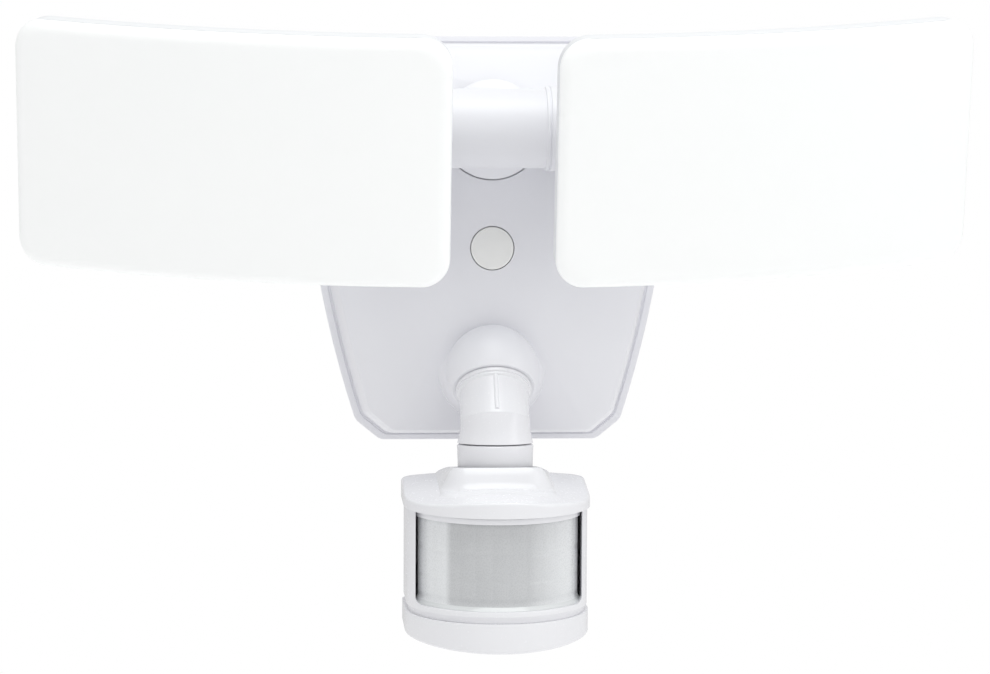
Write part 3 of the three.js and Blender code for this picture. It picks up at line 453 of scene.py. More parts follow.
def canopy_body(name, levels, face_to):
    """A closed canopy body: levels are [depth, side inset, end inset], then its face rises in a shallow hip."""
    depth, side_in, end_in = levels[0]
    piece = canopy_outline(name, side_in)
    bpy.ops.transform.translate(value=(0, 0, depth * MM))
    centre = Vector((0, CANOPY_MIDDLE, 0))
    half_width = CANOPY_HALF - 6
    half_height = (CANOPY_TOP - CANOPY_BOTTOM) / 2
    for next_depth, next_side, next_end in levels[1:]:
        across = 1 - (next_side - side_in) / (half_width - side_in)
        upright = 1 - (next_end - end_in) / (half_height - end_in)
        step(next_depth - depth, (across, upright), centre)
        depth, side_in, end_in = next_depth, next_side, next_end
    face_from = depth
    drawn_x, drawn_z, shift = 0.58, 0.42, 12 - CANOPY_MIDDLE
    before = 0
    for share, height in ((0.06, 0.075), (0.12, 0.14), (0.9, 0.92), (0.96, 0.97), (1, 1), (1.25, 1.04)):
        across = (1 - drawn_x * share) / (1 - drawn_x * before)
        upright = (1 - drawn_z * share) / (1 - drawn_z * before)
        next_depth = face_from + (face_to - face_from) / 1.04 * height
        step(next_depth - depth, (across, upright), centre)
        move = shift * (share - before)
        bpy.ops.transform.translate(value=(0, move * MM, 0))
        centre = centre + Vector((0, move, 0))
        depth, before = next_depth, share
    tidy(piece)
    return piece


def make_canopy():
    outer = canopy_body(
        "canopy_shell",
        [
            (1.8, 0.3, 0.3), (2.1, 0, 0), (4.9, 0, 0), (5.3, 0.15, 0.15), (5.4, 0.5, 0.5), (5.4, 2.5, 1.9),
            (4.7, 2.9, 2.2), (4.7, 3.6, 2.8), (17.6, 5.6, 3.4), (19.2, 6.1, 3.9), (20.1, 6.9, 4.6),
            (20.5, 8.1, 5.6),
        ],
        FACE_DEPTH,
    )
    settle(outer, LYING)
    trim = canopy_body("trim", [(1.2, 4.6, 4.6), (17.0, 6.2, 6.2), (19.1, 7.8, 7.8)], FACE_DEPTH - 1.4)
    settle(trim, LYING)
    inner = canopy_body("inner", [(0.8, 5.7, 5.7), (16.0, 7.4, 7.4), (18.1, 9.0, 9.0)], FACE_DEPTH - 2.8)
    settle(inner, LYING)

    # the dome, on a filleted foot that sinks into the sloping face
    foot_depth = 26.8
    fillet = 3
    rise = -SWIVEL_CENTRE.y - foot_depth
    foot_r = math.sqrt((DOME_R + fillet) ** 2 - (rise - fillet) ** 2)
    touch = math.asin((rise - fillet) / (DOME_R + fillet))
    foot_profile = [(-7, foot_r + 0.4), (-2, foot_r + 0.4)]
    turns = 8
    for i in range(turns + 1):
        angle = -math.pi / 2 - (math.pi / 2 - touch) * i / turns
        foot_profile.append((fillet + fillet * math.sin(angle), foot_r + fillet * math.cos(angle)))
    foot_profile.append((foot_profile[-1][0] + 1, 10))
    foot = turned("foot", foot_profile, (0, -foot_depth, SWIVEL_CENTRE.z), (0, -1, 0))
    alone(None)
    bpy.ops.mesh.primitive_uv_sphere_add(
        segments=80, ring_count=40, radius=DOME_R * MM, location=SWIVEL_CENTRE * MM,
        rotation=(math.radians(-141.5), 0, 0),
    )
    dome = named("dome")
    bpy.ops.object.transform_apply(location=True, rotation=True, scale=True)
    add(outer, foot, dome)
    cut(outer, inner)

    # posts inside: the centre bolt's, the hub nut's face and the driver's two
    driver_x = sum(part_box("driver_case")[i].x for i in (0, 1)) / 2 / MM
    posts = rod("posts", (0, -3.2, 0), (0, -30, 0), 7.4)
    cup = rod("cup", (0, -26.6, 0), (0, -40, 0), 11.4)
    nut_face = rod("nut_face", (0, -24.2, HUB.z), (0, -40, HUB.z), 17)
    add(posts, cup, nut_face)
    for z in (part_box("driver_screw_upper")[0].z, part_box("driver_screw_lower")[0].z):
        screw_z = z / MM + 3
        add(posts, rod("post", (driver_x, -9.4, screw_z), (driver_x, -40, screw_z), 3.6))
    combine(posts, trim, "INTERSECT")
    add(outer, posts)

    on_axis = lambda distance: SWIVEL_CENTRE + SWIVEL_AXIS * distance
    alone(None)
    bpy.ops.mesh.primitive_uv_sphere_add(
        segments=48, ring_count=24, radius=(DOME_R - 2.3) * MM, location=SWIVEL_CENTRE * MM
    )
    hollow = named("hollow")
    bpy.ops.object.transform_apply(location=True, rotation=True, scale=True)
    cut(hollow, rod("keep", on_axis(DOME_OPEN - 2.4), on_axis(60), 40))
    cut(
        outer,
        hollow,
        rod("opening", on_axis(DOME_OPEN), on_axis(40), DOME_R + 1),
        rod("swivel_hole", on_axis(0), on_axis(30), 11.9),
        rod("cable_way", (0, -12, SWIVEL_CENTRE.z - 2), (0, SWIVEL_CENTRE.y, SWIVEL_CENTRE.z - 2), 9.5),
        rod("hub_hole", (0, -10, HUB.z), (0, -40, HUB.z), 10.8),
        rod("stem_recess", (0, -29.6, HUB.z), (0, -40, HUB.z), STEM_R + 0.55, ROUND),
        rod("plug_recess", (0, -27.5, 0), (0, -40, 0), 8.55, ROUND),
        rod("screw_sink", (0, -17.4, 0), (0, -40, 0), 5.4),
        rod("screw_hole", (0, 5, 0), (0, -30, 0), 2.9),
    )
    smooth(outer, 28)
    dress(outer, MOULDED_ABS, "fixture", ["canopy"])


make_canopy()


# ---------------------------------------------------------------- plug and hub
plug = turned(
    "screw_plug", [(0, 7.6), (1.8, 7.6), (1.8, 8.25), (3.3, 8.25), (3.55, 8.0)], (0, -27.8, 0), (0, -1, 0)
)
soften(plug, 0.15, 2)
dress(plug, PLUG_ABS, "fixture", ["bolt_plug"])


def make_hub():
    barrel, collar, half = 15.1, 16.2, 23.5
    side = [(18.7, barrel), (18.9, collar - 0.25), (19.9, collar - 0.25), (20.1, collar - 0.7)]
    side += [(20.5, collar - 0.7), (20.7, collar), (half, collar)]
    profile = [(-height, radius) for height, radius in reversed(side)] + side
    body = turned("hub_body", profile, HUB, (1, 0, 0), 96)
    base = 29.8
    neck = 14.6
    stem = turned(
        "stem",
        [(0, STEM_R), (1.6, STEM_R), (2.4, STEM_R - 1), (3.6, 16.4), (5.2, neck + 0.5), (8, neck), (19, neck)],
        (0, -base, HUB.z), (0, -1, 0), 96,
    )
    spigot = rod("spigot", (0, -17.6, HUB.z), (0, -base - 2, HUB.z), 10.5)
    add(body, stem, spigot)
    cut(
        body,
        rod("wire_way", (0, 0, HUB.z), (0, HUB.y, HUB.z), 7.5),
        rod("inside", (-16.5, HUB.y, HUB.z), (16.5, HUB.y, HUB.z), 12),
        rod("bolt_way", (-40, HUB.y, HUB.z), (40, HUB.y, HUB.z), 4.3),
        turned("seal_seat", [(-1, 15), (3.6, 15), (3.6, 12), (-1, 12)], (0, -base, HUB.z), (0, -1, 0), ring=True),
    )
    soften(body, 0.35, 2, 35)
    dress(body, MOULDED_ABS, "fixture", ["hub"])


make_hub()


# ---------------------------------------------------------------- lamp heads
def head_place(side):
    """The frame of a head's face: X along it, Y back into it, Z up it."""
    sign = -1 if side == "left" else 1
    return (
        Matrix.Translation(HUB)
        @ Matrix.Rotation(HEAD_TILT, 4, "X")
        @ Matrix.Translation((sign * PAN_X, 0, 0))
        @ Matrix.Rotation(sign * HEAD_PAN[side], 4, "Z")
        @ Matrix.Translation((sign * HEAD_OUT, -HEAD_AHEAD, -HEAD_DROP))
    )


def rounded_plate(name, half, corner, filled=True):
    """A rounded rectangle lying face up, selected in edit mode."""
    alone(None)
    bpy.ops.mesh.primitive_plane_add(size=2 * MM)
    piece = named(name)
    bpy.ops.object.mode_set(mode="EDIT")
    bpy.ops.transform.resize(value=(half[0], half[1], 1), center_override=(0, 0, 0))
    bpy.ops.mesh.bevel(offset=corner * MM, segments=12, affect="VERTICES")
    if not filled:
        bpy.ops.mesh.delete(type="ONLY_FACE")
    bpy.ops.mesh.select_all(action="SELECT")
    return piece


def drawn_shell(name, levels, corner, wall, edge=0):
    """An open shell: levels are [depth, half length, half height], the last one closed, then given its wall."""
    depth, length, height = levels[0]
    piece = rounded_plate(name, (length, height), corner, filled=False)
    bpy.ops.transform.translate(value=(0, 0, -depth * MM))
    for next_depth, next_length, next_height in levels[1:]:
        step(depth - next_depth, (next_length / length, next_height / height))
        depth, length, height = next_depth, next_length, next_height
    bpy.ops.mesh.edge_face_add()
    tidy(piece)
    if edge:
        soften(piece, edge, 5, 12)
    modify(piece, "SOLIDIFY", thickness=wall * MM, offset=-1, use_even_offset=True)
    return piece


def bend(piece):
    """Cuts a flat head part into columns and bends it round the head's arc."""
    alone(piece)
    columns = 36
    reach = max(abs(vert.co.x) for vert in piece.data.vertices)
    bpy.ops.object.mode_set(mode="EDIT")
    for i in range(1, columns):
        bpy.ops.mesh.select_all(action="SELECT")
        at = (2 * i / columns - 1) * reach
        bpy.ops.mesh.bisect(plane_co=(at, 0, 0), plane_no=(1, 0, 0))
    bpy.ops.object.mode_set(mode="OBJECT")
    modify(
        piece, "SIMPLE_DEFORM", deform_method="BEND", deform_axis="Z", angle=2 * reach / (HEAD_BEND * MM)
    )
    return piece


def bent(along, depth):
    """A place on the bent head: its X and Y for a place along it and a depth."""
    angle = along / HEAD_BEND
    return Vector(((HEAD_BEND - depth) * math.sin(angle), HEAD_BEND - (HEAD_BEND - depth) * math.cos(angle), 0))


def make_lens():
    """The opal cover: a soft quarter-round edge, a straight rim and a spigot that sits inside the housing."""
    length, height = HEAD_HALF
    edge_steps, edge_depth, edge_in = 8, 4.0, 4.6
    levels = [
        (6.2, length - 1.6, height - 1.6), (4.15, length - 1.6, height - 1.6), (4.15, length - 0.2, height - 0.2),
    ]
    for i in range(edge_steps + 1):
        angle = math.pi / 2 * i / edge_steps
        inset = 0.2 + edge_in * (1 - math.cos(angle))
        levels.append((edge_depth * (1 - math.sin(angle)), length - inset, height - inset))
    piece = drawn_shell("lens", levels, 10.5, 1.2)
    settle(piece, LYING)
    bend(piece)
    return piece


def make_housing(side):
    """The finned rear shell with its screw pockets and the two lugs of the pan hinge."""
    sign = -1 if side == "left" else 1
    levels = [
        (4.5, 83.3, 47.3), (5.0, 83.5, 47.5), (10.4, 83.5, 47.5), (12.2, 82.2, 46.2),
        (22.6, 53.6, 29.4), (24, 50, 26.5),
    ]
    piece = drawn_shell(f"{side}_rear_housing", levels, 12, 1.6, 0.9)
    settle(piece, LYING)
    bend(piece)
    tools = []
    for i in range(8):
        x = sign * (-22 + 9.5 * i)
        half = 24 - max(0, i - 5) * 2
        fin = block("fin", (x - 1, 22.5, -half), (x + 1, 29 + bent(x, 0).y, half))
        alone(fin)
        bpy.ops.object.mode_set(mode="EDIT")
        select(fin, "edges", lambda a, b: min(a.y, b.y) > 26 * MM and abs(a.z - b.z) < 1e-5)
        bpy.ops.mesh.bevel(offset=2.4 * MM, segments=4, affect="EDGES")
        bpy.ops.object.mode_set(mode="OBJECT")
        tools.append(fin)
    pan_x = -sign * HEAD_OUT
    for low, high in ((8.4, 12.4), (-12.4, -8.4)):
        low, high = low + HEAD_DROP, high + HEAD_DROP
        lug = block("lug", (pan_x - 9.5, 23, low), (pan_x + 9.5, HEAD_AHEAD, high))
        add(lug, turned("eye", [(low, 9.5), (high, 9.5)], (pan_x, HEAD_AHEAD, 0)))
        tools.append(lug)
    for x, z in SCREW_SPOTS:
        foot, top = (bent(x, depth) + Vector((0, 0, z)) for depth in (15.9, 20))
        tools.append(rod("boss", foot, top, 3.8))
    add(piece, *tools)
    tools = [rod("pin_hole", (pan_x, HEAD_AHEAD, -20), (pan_x, HEAD_AHEAD, 24), 3.2)]
    for x, z in SCREW_SPOTS:
        near, seat, far = (bent(x, depth) + Vector((0, 0, z)) for depth in (9, 19.9, 28))
        tools += [rod("hole", near, seat, 1.8), rod("sink", seat, far, 4.05)]
    cut(piece, *tools)
    soften(piece, 0.35, 2, 40)
    return piece


def make_tilt_arm(side):
    """Detent disc, neck and the eye that the pan bolt runs through."""
    sign = -1 if side == "left" else 1
    profile = [(24.4, 15.9), (28.6, 15.9), (29.6, 15.0), (30.0, 11.2), (33, 9.4), (37, 7.8), (46, 7.6)]
    arm = turned(f"{side}_arm", profile, direction=(sign, 0, 0))
    add(arm, turned("eye", [(-8, 9.5), (8, 9.5)], (sign * PAN_X, 0, 0)))
    cut(
        arm,
        rod("pin_hole", (sign * PAN_X, 0, -10), (sign * PAN_X, 0, 10), 3.2),
        rod("bolt_hole", (sign * 20, 0, 0), (sign * 29.4, 0, 0), 4.3),
    )
    soften(arm, 0.5, 3, 40)
    return arm


def cross_recess(piece, top, reach, deep):
    """Presses a cross-head drive into the +Z end of a screw."""
    thin = reach * 0.2
    for low, high in (((-reach, -thin), (reach, thin)), ((-thin, -reach), (thin, reach))):
        cut(piece, block("slot", (*low, top - deep), (*high, top + 1), reach * 0.12))


def make_screw(name, head_r, head_h, shank_r, length):
    """A pan-head screw standing head up, its head resting on Z = 0."""
    pitch = 1.0
    profile = [(-length, shank_r * 0.3), (-length + 0.8, shank_r * 0.8)]
    height = -length + 0.8
    while height + pitch < -0.4:
        profile += [(height + pitch * 0.5, shank_r), (height + pitch, shank_r * 0.82)]
        height += pitch
    profile += [(0, shank_r), (0, head_r), (head_h * 0.45, head_r), (head_h * 0.8, head_r * 0.86)]
    profile.append((head_h, head_r * 0.6))
    piece = turned(name, profile, sides=FINE)
    cross_recess(piece, head_h, head_r * 0.5, head_h * 0.6)
    smooth(piece, 34)
    return piece


def make_pan_bolt(name):
    """Domed head above, plain shank and a chamfered nut below."""
    bolt = turned(
        name,
        [(-14.6, 2.4), (-14.2, 2.9), (12.9, 2.9), (12.9, 5.2), (14.2, 5.1), (15.1, 4.4), (15.6, 3.2)],
        sides=FINE,
    )
    add(bolt, turned("nut", [(-15.6, 4.5), (-15.2, 5), (-12.9, 5)], sides=6))
    cross_recess(bolt, 15.6, 2.4, 1.2)
    soften(bolt, 0.15, 2, 35)
    return bolt


lens = make_lens()
housing_screw = make_screw("housing_screw", 3.2, 1.8, 1.4, 5.8)
pan_bolt = make_pan_bolt("pan_bolt_model")
for side in ("left", "right"):
    sign = -1 if side == "left" else 1
    place = head_place(side)
    cover = settle(copy_of(lens, f"{side}_opal_cover"), place)
    smooth(cover, 35)
    dress(cover, OPAL_PAINTED_GLOW, f"{side}_head", [f"{side}_lens"])
    shell = settle(make_housing(side), place)
    dress(shell, POWDER_COAT, f"{side}_head", [f"{side}_housing"])
    at_hub = Matrix.Translation(HUB) @ Matrix.Rotation(HEAD_TILT, 4, "X")
    arm = settle(make_tilt_arm(side), at_hub)
    dress(arm, POWDER_COAT, f"{side}_arm", [f"{side}_tilt_arm"])
    pin = settle(copy_of(pan_bolt, f"{side}_hinge_bolt"), at_hub @ Matrix.Translation((sign * PAN_X, 0, 0)))
    dress(pin, ZINC, f"{side}_head", [f"{side}_pan_bolt"])
    for i, (x, z) in enumerate(SCREW_SPOTS):
        under, tip = (bent(x, depth) + Vector((0, 0, z)) for depth in (20.3, 10))
        screw = copy_of(housing_screw, f"{side}_housing_screw_{i + 1}")
        settle(screw, place @ aim(under, under - tip))
        dress(screw, ZINC, f"{side}_head", [f"{side}_screw_{i + 1}"])
for model in (lens, housing_screw, pan_bolt):
    bpy.data.objects.remove(model)


# ---------------------------------------------------------------- swivel elbow and pan collar
def halve(piece, at, normal, keep_far):
    """Cuts a piece at a plane and closes it there."""
    alone(piece)
    bpy.ops.object.mode_set(mode="EDIT")
    bpy.ops.mesh.select_all(action="SELECT")
    bpy.ops.mesh.bisect(
        plane_co=tuple(at * MM), plane_no=tuple(normal), use_fill=True,
        clear_inner=keep_far, clear_outer=not keep_far,
    )
    bpy.ops.object.mode_set(mode="OBJECT")
    tidy(piece)


def make_elbow():
    """An inclined neck under the dome, mitred into an upright tube that flares to its seam."""
    seam = DOME_OPEN + 0.35
    start = SWIVEL_CENTRE + SWIVEL_AXIS * seam
    corner = SWIVEL_CENTRE + SWIVEL_AXIS * ((TUBE_Y - SWIVEL_CENTRE.y) / SWIVEL_AXIS.y)
    mitre = (SWIVEL_AXIS + Vector((0, 0, -1))).normalized()
    neck_steps = [(0, 14.6), (1.3, 14.6), (1.5, 14.0), (2.4, 14.0), (3.0, 13.35), (4.2, TUBE_R), (40, TUBE_R)]
    piece = turned("elbow", neck_steps, start, SWIVEL_AXIS)
    halve(piece, corner + mitre * 0.05, mitre, keep_far=False)
    flare = [(0, 1.25), (0.8, 1.05), (2.0, 0.7), (3.6, 0.35), (5.4, 0.1), (7.0, 0), (40, 0)]
    tube = turned("tube", [(height, TUBE_R + more) for height, more in flare], (0, TUBE_Y, SEAM_Z))
    halve(tube, corner, mitre, keep_far=True)
    up = Vector((0, SWIVEL_AXIS.z, -SWIVEL_AXIS.y))
    rib_start = start + SWIVEL_AXIS * -0.3 + up * (TUBE_R - 0.35)
    rib = turned("rib", [(0, 0.95), (18.6, 0.95)], rib_start, SWIVEL_AXIS, 16)
    spigot = rod("spigot", SWIVEL_CENTRE + SWIVEL_AXIS * 1.6, start + SWIVEL_AXIS, 11.4, ROUND)
    add(piece, tube, rib, spigot)
    cut(
        piece,
        rod("cable_way", SWIVEL_CENTRE, corner + SWIVEL_AXIS * 2, 9.5),
        rod("pan_socket", (0, TUBE_Y, SEAM_Z - 1), (0, TUBE_Y, corner.z - 2), 11, ROUND),
    )
    soften(piece, 0.3, 2, 28)
    dress(piece, POLISHED_ABS, "swivel", ["swivel_elbow"])


make_elbow()


def make_collar():
    top = SEAM_Z - 0.55
    skirt = turned(
        "collar",
        [(COLLAR_BOTTOM, 13.6), (COLLAR_BOTTOM + 0.5, 14.3), (top - 2.0, 14.5), (top - 0.5, 14.6), (top, 14.1)],
        (0, TUBE_Y, 0),
    )
    spigot = rod("spigot", (0, TUBE_Y, top - 1), (0, TUBE_Y, top + 5.5), 10.5, ROUND)
    tongue = block("tongue", (-5, TUBE_Y - 6, SENSOR.z), (5, TUBE_Y + 6, COLLAR_BOTTOM + 1))
    knuckle = rod("knuckle", (-5, TUBE_Y, SENSOR.z), (5, TUBE_Y, SENSOR.z), 6)
    add(tongue, knuckle)
    add(skirt, spigot, tongue)
    cut(
        skirt,
        rod("bore", (0, TUBE_Y, COLLAR_BOTTOM + 2.4), (0, TUBE_Y, top + 10), 8.6),
        rod("pin_hole", (-20, TUBE_Y, SENSOR.z), (20, TUBE_Y, SENSOR.z), 2.3),
    )
    soften(skirt, 0.3, 2, 35)
    dress(skirt, POLISHED_ABS, "collar", ["pan_collar"])


make_collar()


# ---------------------------------------------------------------- sensor
SENSOR_PLACE = Matrix.Translation(SENSOR) @ Matrix.Rotation(SENSOR_PITCH, 4, "X")


def d_plan(name, inset, z, filled=True):
    """The sensor's plan at a height: a half round in front, straight sides and a back with rounded corners."""
    alone(None)
    radius = PLAN_R - inset
    bpy.ops.mesh.primitive_circle_add(
        vertices=96, radius=radius * MM, fill_type="NOTHING", location=(0, PLAN_CENTRE * MM, z * MM)
    )
    piece = named(name)
    bpy.ops.object.transform_apply(location=True, rotation=False, scale=False)
    bpy.ops.object.mode_set(mode="EDIT")
    select(piece, "verts", lambda co: co.y > (PLAN_CENTRE + 0.01) * MM)
    bpy.ops.mesh.delete(type="VERT")
    select(piece, "verts", lambda co: abs(co.x) > (radius - 0.01) * MM)
    back = PLAN_BACK - inset
    bpy.ops.mesh.extrude_region_move(TRANSFORM_OT_translate={"value": (0, (back - PLAN_CENTRE) * MM, 0)})
    bpy.ops.mesh.edge_face_add()
    bpy.ops.mesh.bevel(offset=4 * MM, segments=6, affect="VERTICES")
    bpy.ops.mesh.select_all(action="SELECT")
    if filled:
        bpy.ops.mesh.edge_face_add()
    bpy.ops.mesh.select_all(action="SELECT")
    return piece


def plan_step(advance, inset, more):
    """Draws the plan up or down and moves its wall in by a little more, keeping its back and sides parallel."""
    half_depth = (PLAN_BACK - PLAN_CENTRE + PLAN_R) / 2
    middle = (PLAN_BACK + PLAN_CENTRE - PLAN_R) / 2
    ratio = (1 - more / (PLAN_R - inset), 1 - more / (half_depth - inset))
    bpy.ops.mesh.extrude_region_move(TRANSFORM_OT_translate={"value": (0, 0, advance * MM)})
    bpy.ops.transform.resize(value=(*ratio, 1), center_override=(0, middle * MM, 0))


def ease(value):
    value = min(1, max(0, value))
    return value * value * (3 - 2 * value)


def lobe(x, y, half, front, corner, slope):
    """How much of a raised pad stands at a place: a rounded plan, open to the back, eased down over its slope."""
    across = max(0, abs(x) - (half - corner))
    ahead = max(0, (front + corner) - y)
    outside = math.hypot(across, ahead) - corner
    return 1 - ease(outside / slope)


def roof_height(x, y):
    """The cap's roof, which falls to the front and more at its front corners, with its pad and neck boss."""
    ahead = (PLAN_BACK - y) / (PLAN_BACK + 44)
    roof = -0.35 - 3.0 * ahead - (1.8 + 3.9 * ahead) * (x / PLAN_R) ** 2
    pad = 0.9 * lobe(x, y, 20.5, -25.5, 4, 1.6)
    rim = 5.9 - 0.134 * max(0, y + 17)
    rise = max(0, rim - (roof + pad))
    boss = rise * lobe(x, y, 16.4, -16.6, 5, 5.5)
    return roof + pad + boss


def make_cap():
    bottom, roof = -9.5, 2.0
    piece = d_plan("sensor_top", -0.5, bottom)
    plan_step(roof - 1.4 - bottom, -0.5, 0)
    for advance, inset, more in ((0.6, -0.5, 0), (0.4, -0.5, 0.1), (0.28, -0.4, 0.25), (0.12, -0.15, 0.35)):
        plan_step(advance, inset, more)
    tidy(piece)
    alone(piece)
    bpy.ops.object.mode_set(mode="EDIT")
    for axis, low, high in (((1, 0, 0), -35, 36), ((0, 1, 0), -44, 18)):
        for at in range(low, high):
            select(piece, "faces", lambda centre, normal: normal.z > 0.2)
            bpy.ops.mesh.bisect(plane_co=tuple(a * at * MM for a in axis), plane_no=axis)
    select(piece, "verts", lambda co: co.z > (roof - 0.01) * MM)
    bpy.ops.mesh.remove_doubles(threshold=0.25 * MM)
    bpy.ops.object.mode_set(mode="OBJECT")
    for vert in piece.data.vertices:
        x, y, z = vert.co / MM
        if z > bottom + 1:
            vert.co.z = (roof_height(x, y) + z - roof) * MM
    well = turned("well", [(-9.0, 15.9), (12, 15.9)])
    under = d_plan("under", 1.9, bottom - 1)
    bpy.ops.mesh.extrude_region_move(TRANSFORM_OT_translate={"value": (0, 0, 2.2 * MM)})
    tidy(under)
    cut(piece, well, under)
    floor = turned("well_floor", [(-8.6, 17.4), (-7.4, 17.4), (-7.4, 9.5), (-8.6, 9.5)], ring=True)
    wall = turned("well_wall", [(-8.6, 17.6), (-4, 17.6), (-4, 15.9), (-8.6, 15.9)], ring=True)
    add(wall, floor)
    for side in (-1, 1):
        near, far = sorted((side * 5.4, side * 8.4))
        ear = block("ear", (near, -4, -8.5), (far, 4, 0))
        add(ear, rod("round", (near, 0, 0), (far, 0, 0), 4))
        cut(ear, rod("pin_hole", (-20, 0, 0), (20, 0, 0), 2.3))
        near, far = sorted((side * 5.4, side * 11))
        add(wall, block("bridge", (near, -5, -8.6), (far, 5, -7.4)), ear)
    add(piece, wall)
    smooth(piece, 30)
    settle(piece, SENSOR_PLACE)
    dress(piece, POLISHED_ABS, "sensor", ["sensor_cap"])


make_cap()


def plan_slab(name, inset, low, high):
    """A solid slab on the sensor's plan."""
    piece = d_plan(name, inset, low)
    bpy.ops.mesh.extrude_region_move(TRANSFORM_OT_translate={"value": (0, 0, (high - low) * MM)})
    tidy(piece)
    return piece


def make_sensor_body():
    """Two side columns and a back, on a slim lower ring with a groove under it."""
    low, high, window = -48.6, -9.8, 31.4
    piece = plan_slab("sensor_casing", 0.5, low + 1.9, high)
    add(piece, plan_slab("groove_ring", 1.3, low - 0.45, low + 3))
    cut(
        piece,
        plan_slab("inside", 3.2, low - 1, high + 1),
        block("window", (-window, -60, low + 3.9), (window, PLAN_CENTRE - 3, 5), 2.5, "Y"),
    )
    soften(piece, 0.45, 3, 40)
    settle(piece, SENSOR_PLACE)
    dress(piece, POLISHED_ABS, "sensor", ["sensor_body"])


make_sensor_body()


def make_bezel():
    """The set-back band over the lens and the channel that it stands in."""
    low, high = -44.9, -10.1
    piece = plan_slab("lens_frame", 2.5, low, high)
    cut(
        piece,
        plan_slab("inside", 3.3, low - 1, high + 1),
        block("window", (-60, -60, low + 0.9), (60, PLAN_CENTRE - 2, high - 2.0)),
        block("back", (-60, PLAN_CENTRE - 5, -80), (60, 40, 10)),
        block("left", (-60, -60, -80), (-31.0, 40, 10)),
        block("right", (31.0, -60, -80), (60, 40, 10)),
    )
    soften(piece, 0.3, 3, 40)
    settle(piece, SENSOR_PLACE)
    dress(piece, POLISHED_ABS, "sensor", ["sensor_bezel"])


make_bezel()


def make_fresnel():
    """The segmented lens: narrow scalloped lenses in three rows, and a plain rim that flares out at the foot."""
    radius, low, high, wall = 31.4, -44.6, -12.0, 0.9
    half_angle = math.asin(30.5 / radius)
    columns, per_column = 13, 9
    rows = [low + 3.4, low + 10.5, low + 21.0, high]
    alone(None)
    bpy.ops.mesh.primitive_grid_add(x_subdivisions=columns * per_column, y_subdivisions=72, size=2)
    piece = named("segmented_lens")
    for vert in piece.data.vertices:
        share, z = vert.co.x, low + (high - low) * (vert.co.y + 1) / 2
        angle = share * half_angle
        dent = 0
        for bottom, top in zip(rows, rows[1:]):
            if bottom <= z <= top:
                across = abs(math.sin(math.pi * (share + 1) / 2 * columns)) ** 0.7
                upright = min(1, 8 * (z - bottom) / (top - bottom), 8 * (top - z) / (top - bottom))
                dent = 0.3 * across * upright
        lip = 1.8 * max(0, 1 - (z - low) / 3.2) ** 2
        r = radius + dent - 0.3 + lip
        vert.co = Vector((r * math.sin(angle), PLAN_CENTRE - r * math.cos(angle), z)) * MM
    modify(piece, "SOLIDIFY", thickness=wall * MM, offset=-1)
    tidy(piece)
    smooth(piece, 50)
    settle(piece, SENSOR_PLACE)
    dress(piece, FRESNEL_PE, "sensor", ["sensor_lens"])
    piece.data.materials.append(RIM_PE)
    upright = SENSOR_PLACE.inverted()
    for face in piece.data.polygons:
        if (upright @ (face.center / MM)).z < low + 1.3:
            face.material_index = 1


make_fresnel()


def make_base():
    """The base cup with a rounded underside, three knob wells and two screw holes."""
    top = -49.1
    piece = d_plan("sensor_base_cover", 0, top)
    plan_step(SENSOR_BOTTOM + 1.7 - top, 0, 0)
    for advance, inset, more in ((-0.7, 0, 0.12), (-0.5, 0.12, 0.3), (-0.3, 0.42, 0.5), (-0.2, 0.92, 2.6)):
        plan_step(advance, inset, more)
    tidy(piece)
    alone(piece)
    bpy.ops.object.mode_set(mode="EDIT")
    for at in range(-33, 34, 3):
        bpy.ops.mesh.select_all(action="SELECT")
        bpy.ops.mesh.bisect(plane_co=(at * MM, 0, 0), plane_no=(1, 0, 0))
    bpy.ops.object.mode_set(mode="OBJECT")
    lift = 2.4
    for vert in piece.data.vertices:
        x, _, z = vert.co / MM
        share = ease((top - 4 - z) / (top - 4 - SENSOR_BOTTOM))
        vert.co.z += share * lift * (x / PLAN_R) ** 2 * MM
    hollow = d_plan("hollow", 2.4, top + 1)
    bpy.ops.mesh.extrude_region_move(TRANSFORM_OT_translate={"value": (0, 0, -8 * MM)})
    tidy(hollow)
    cut(piece, hollow)
    tools = []
    for x in KNOB_SPOTS.values():
        walls = rod("well_wall", (x, KNOB_Y, SENSOR_BOTTOM + 0.6), (x, KNOB_Y, SENSOR_BOTTOM + 6.4), 7.4)
        add(piece, walls)
        tools += [
            rod("well", (x, KNOB_Y, SENSOR_BOTTOM - 2), (x, KNOB_Y, SENSOR_BOTTOM + 5), 5.6),
            rod("spindle_hole", (x, KNOB_Y, SENSOR_BOTTOM), (x, KNOB_Y, SENSOR_BOTTOM + 8), 1.9),
        ]
    for x in (-24, 24):
        tools.append(rod("screw_hole", (x, 10, SENSOR_BOTTOM - 1), (x, 10, SENSOR_BOTTOM + 8), 1.7))
        tools.append(rod("sink", (x, 10, SENSOR_BOTTOM - 2), (x, 10, SENSOR_BOTTOM + 1.2), 3.4))
    cut(piece, *tools)
    smooth(piece, 30)
    settle(piece, SENSOR_PLACE)
    dress(piece, POLISHED_ABS, "sensor", ["sensor_base"])


make_base()


def make_knob():
    """A setting knob standing on Z = 0 with a knurled rim and a pointer slot below."""
    knob = turned("knob_model", [(0, 3.7), (0.4, 4.1), (3.0, 4.1), (3.4, 3.7), (3.4, 1.6), (12.1, 1.6)])
    alone(knob)
    for i in range(12):
        angle = math.tau * i / 12
        notch = rod(
            "notch", (4.4 * math.cos(angle), 4.4 * math.sin(angle), -1),
            (4.4 * math.cos(angle), 4.4 * math.sin(angle), 2.8), 0.55, 10,
        )
        cut(knob, notch)
    cut(knob, block("slot", (-0.6, -3.2, -1), (0.6, 3.2, 1.3), 0.3))
    soften(knob, 0.12, 2, 40)
    return knob


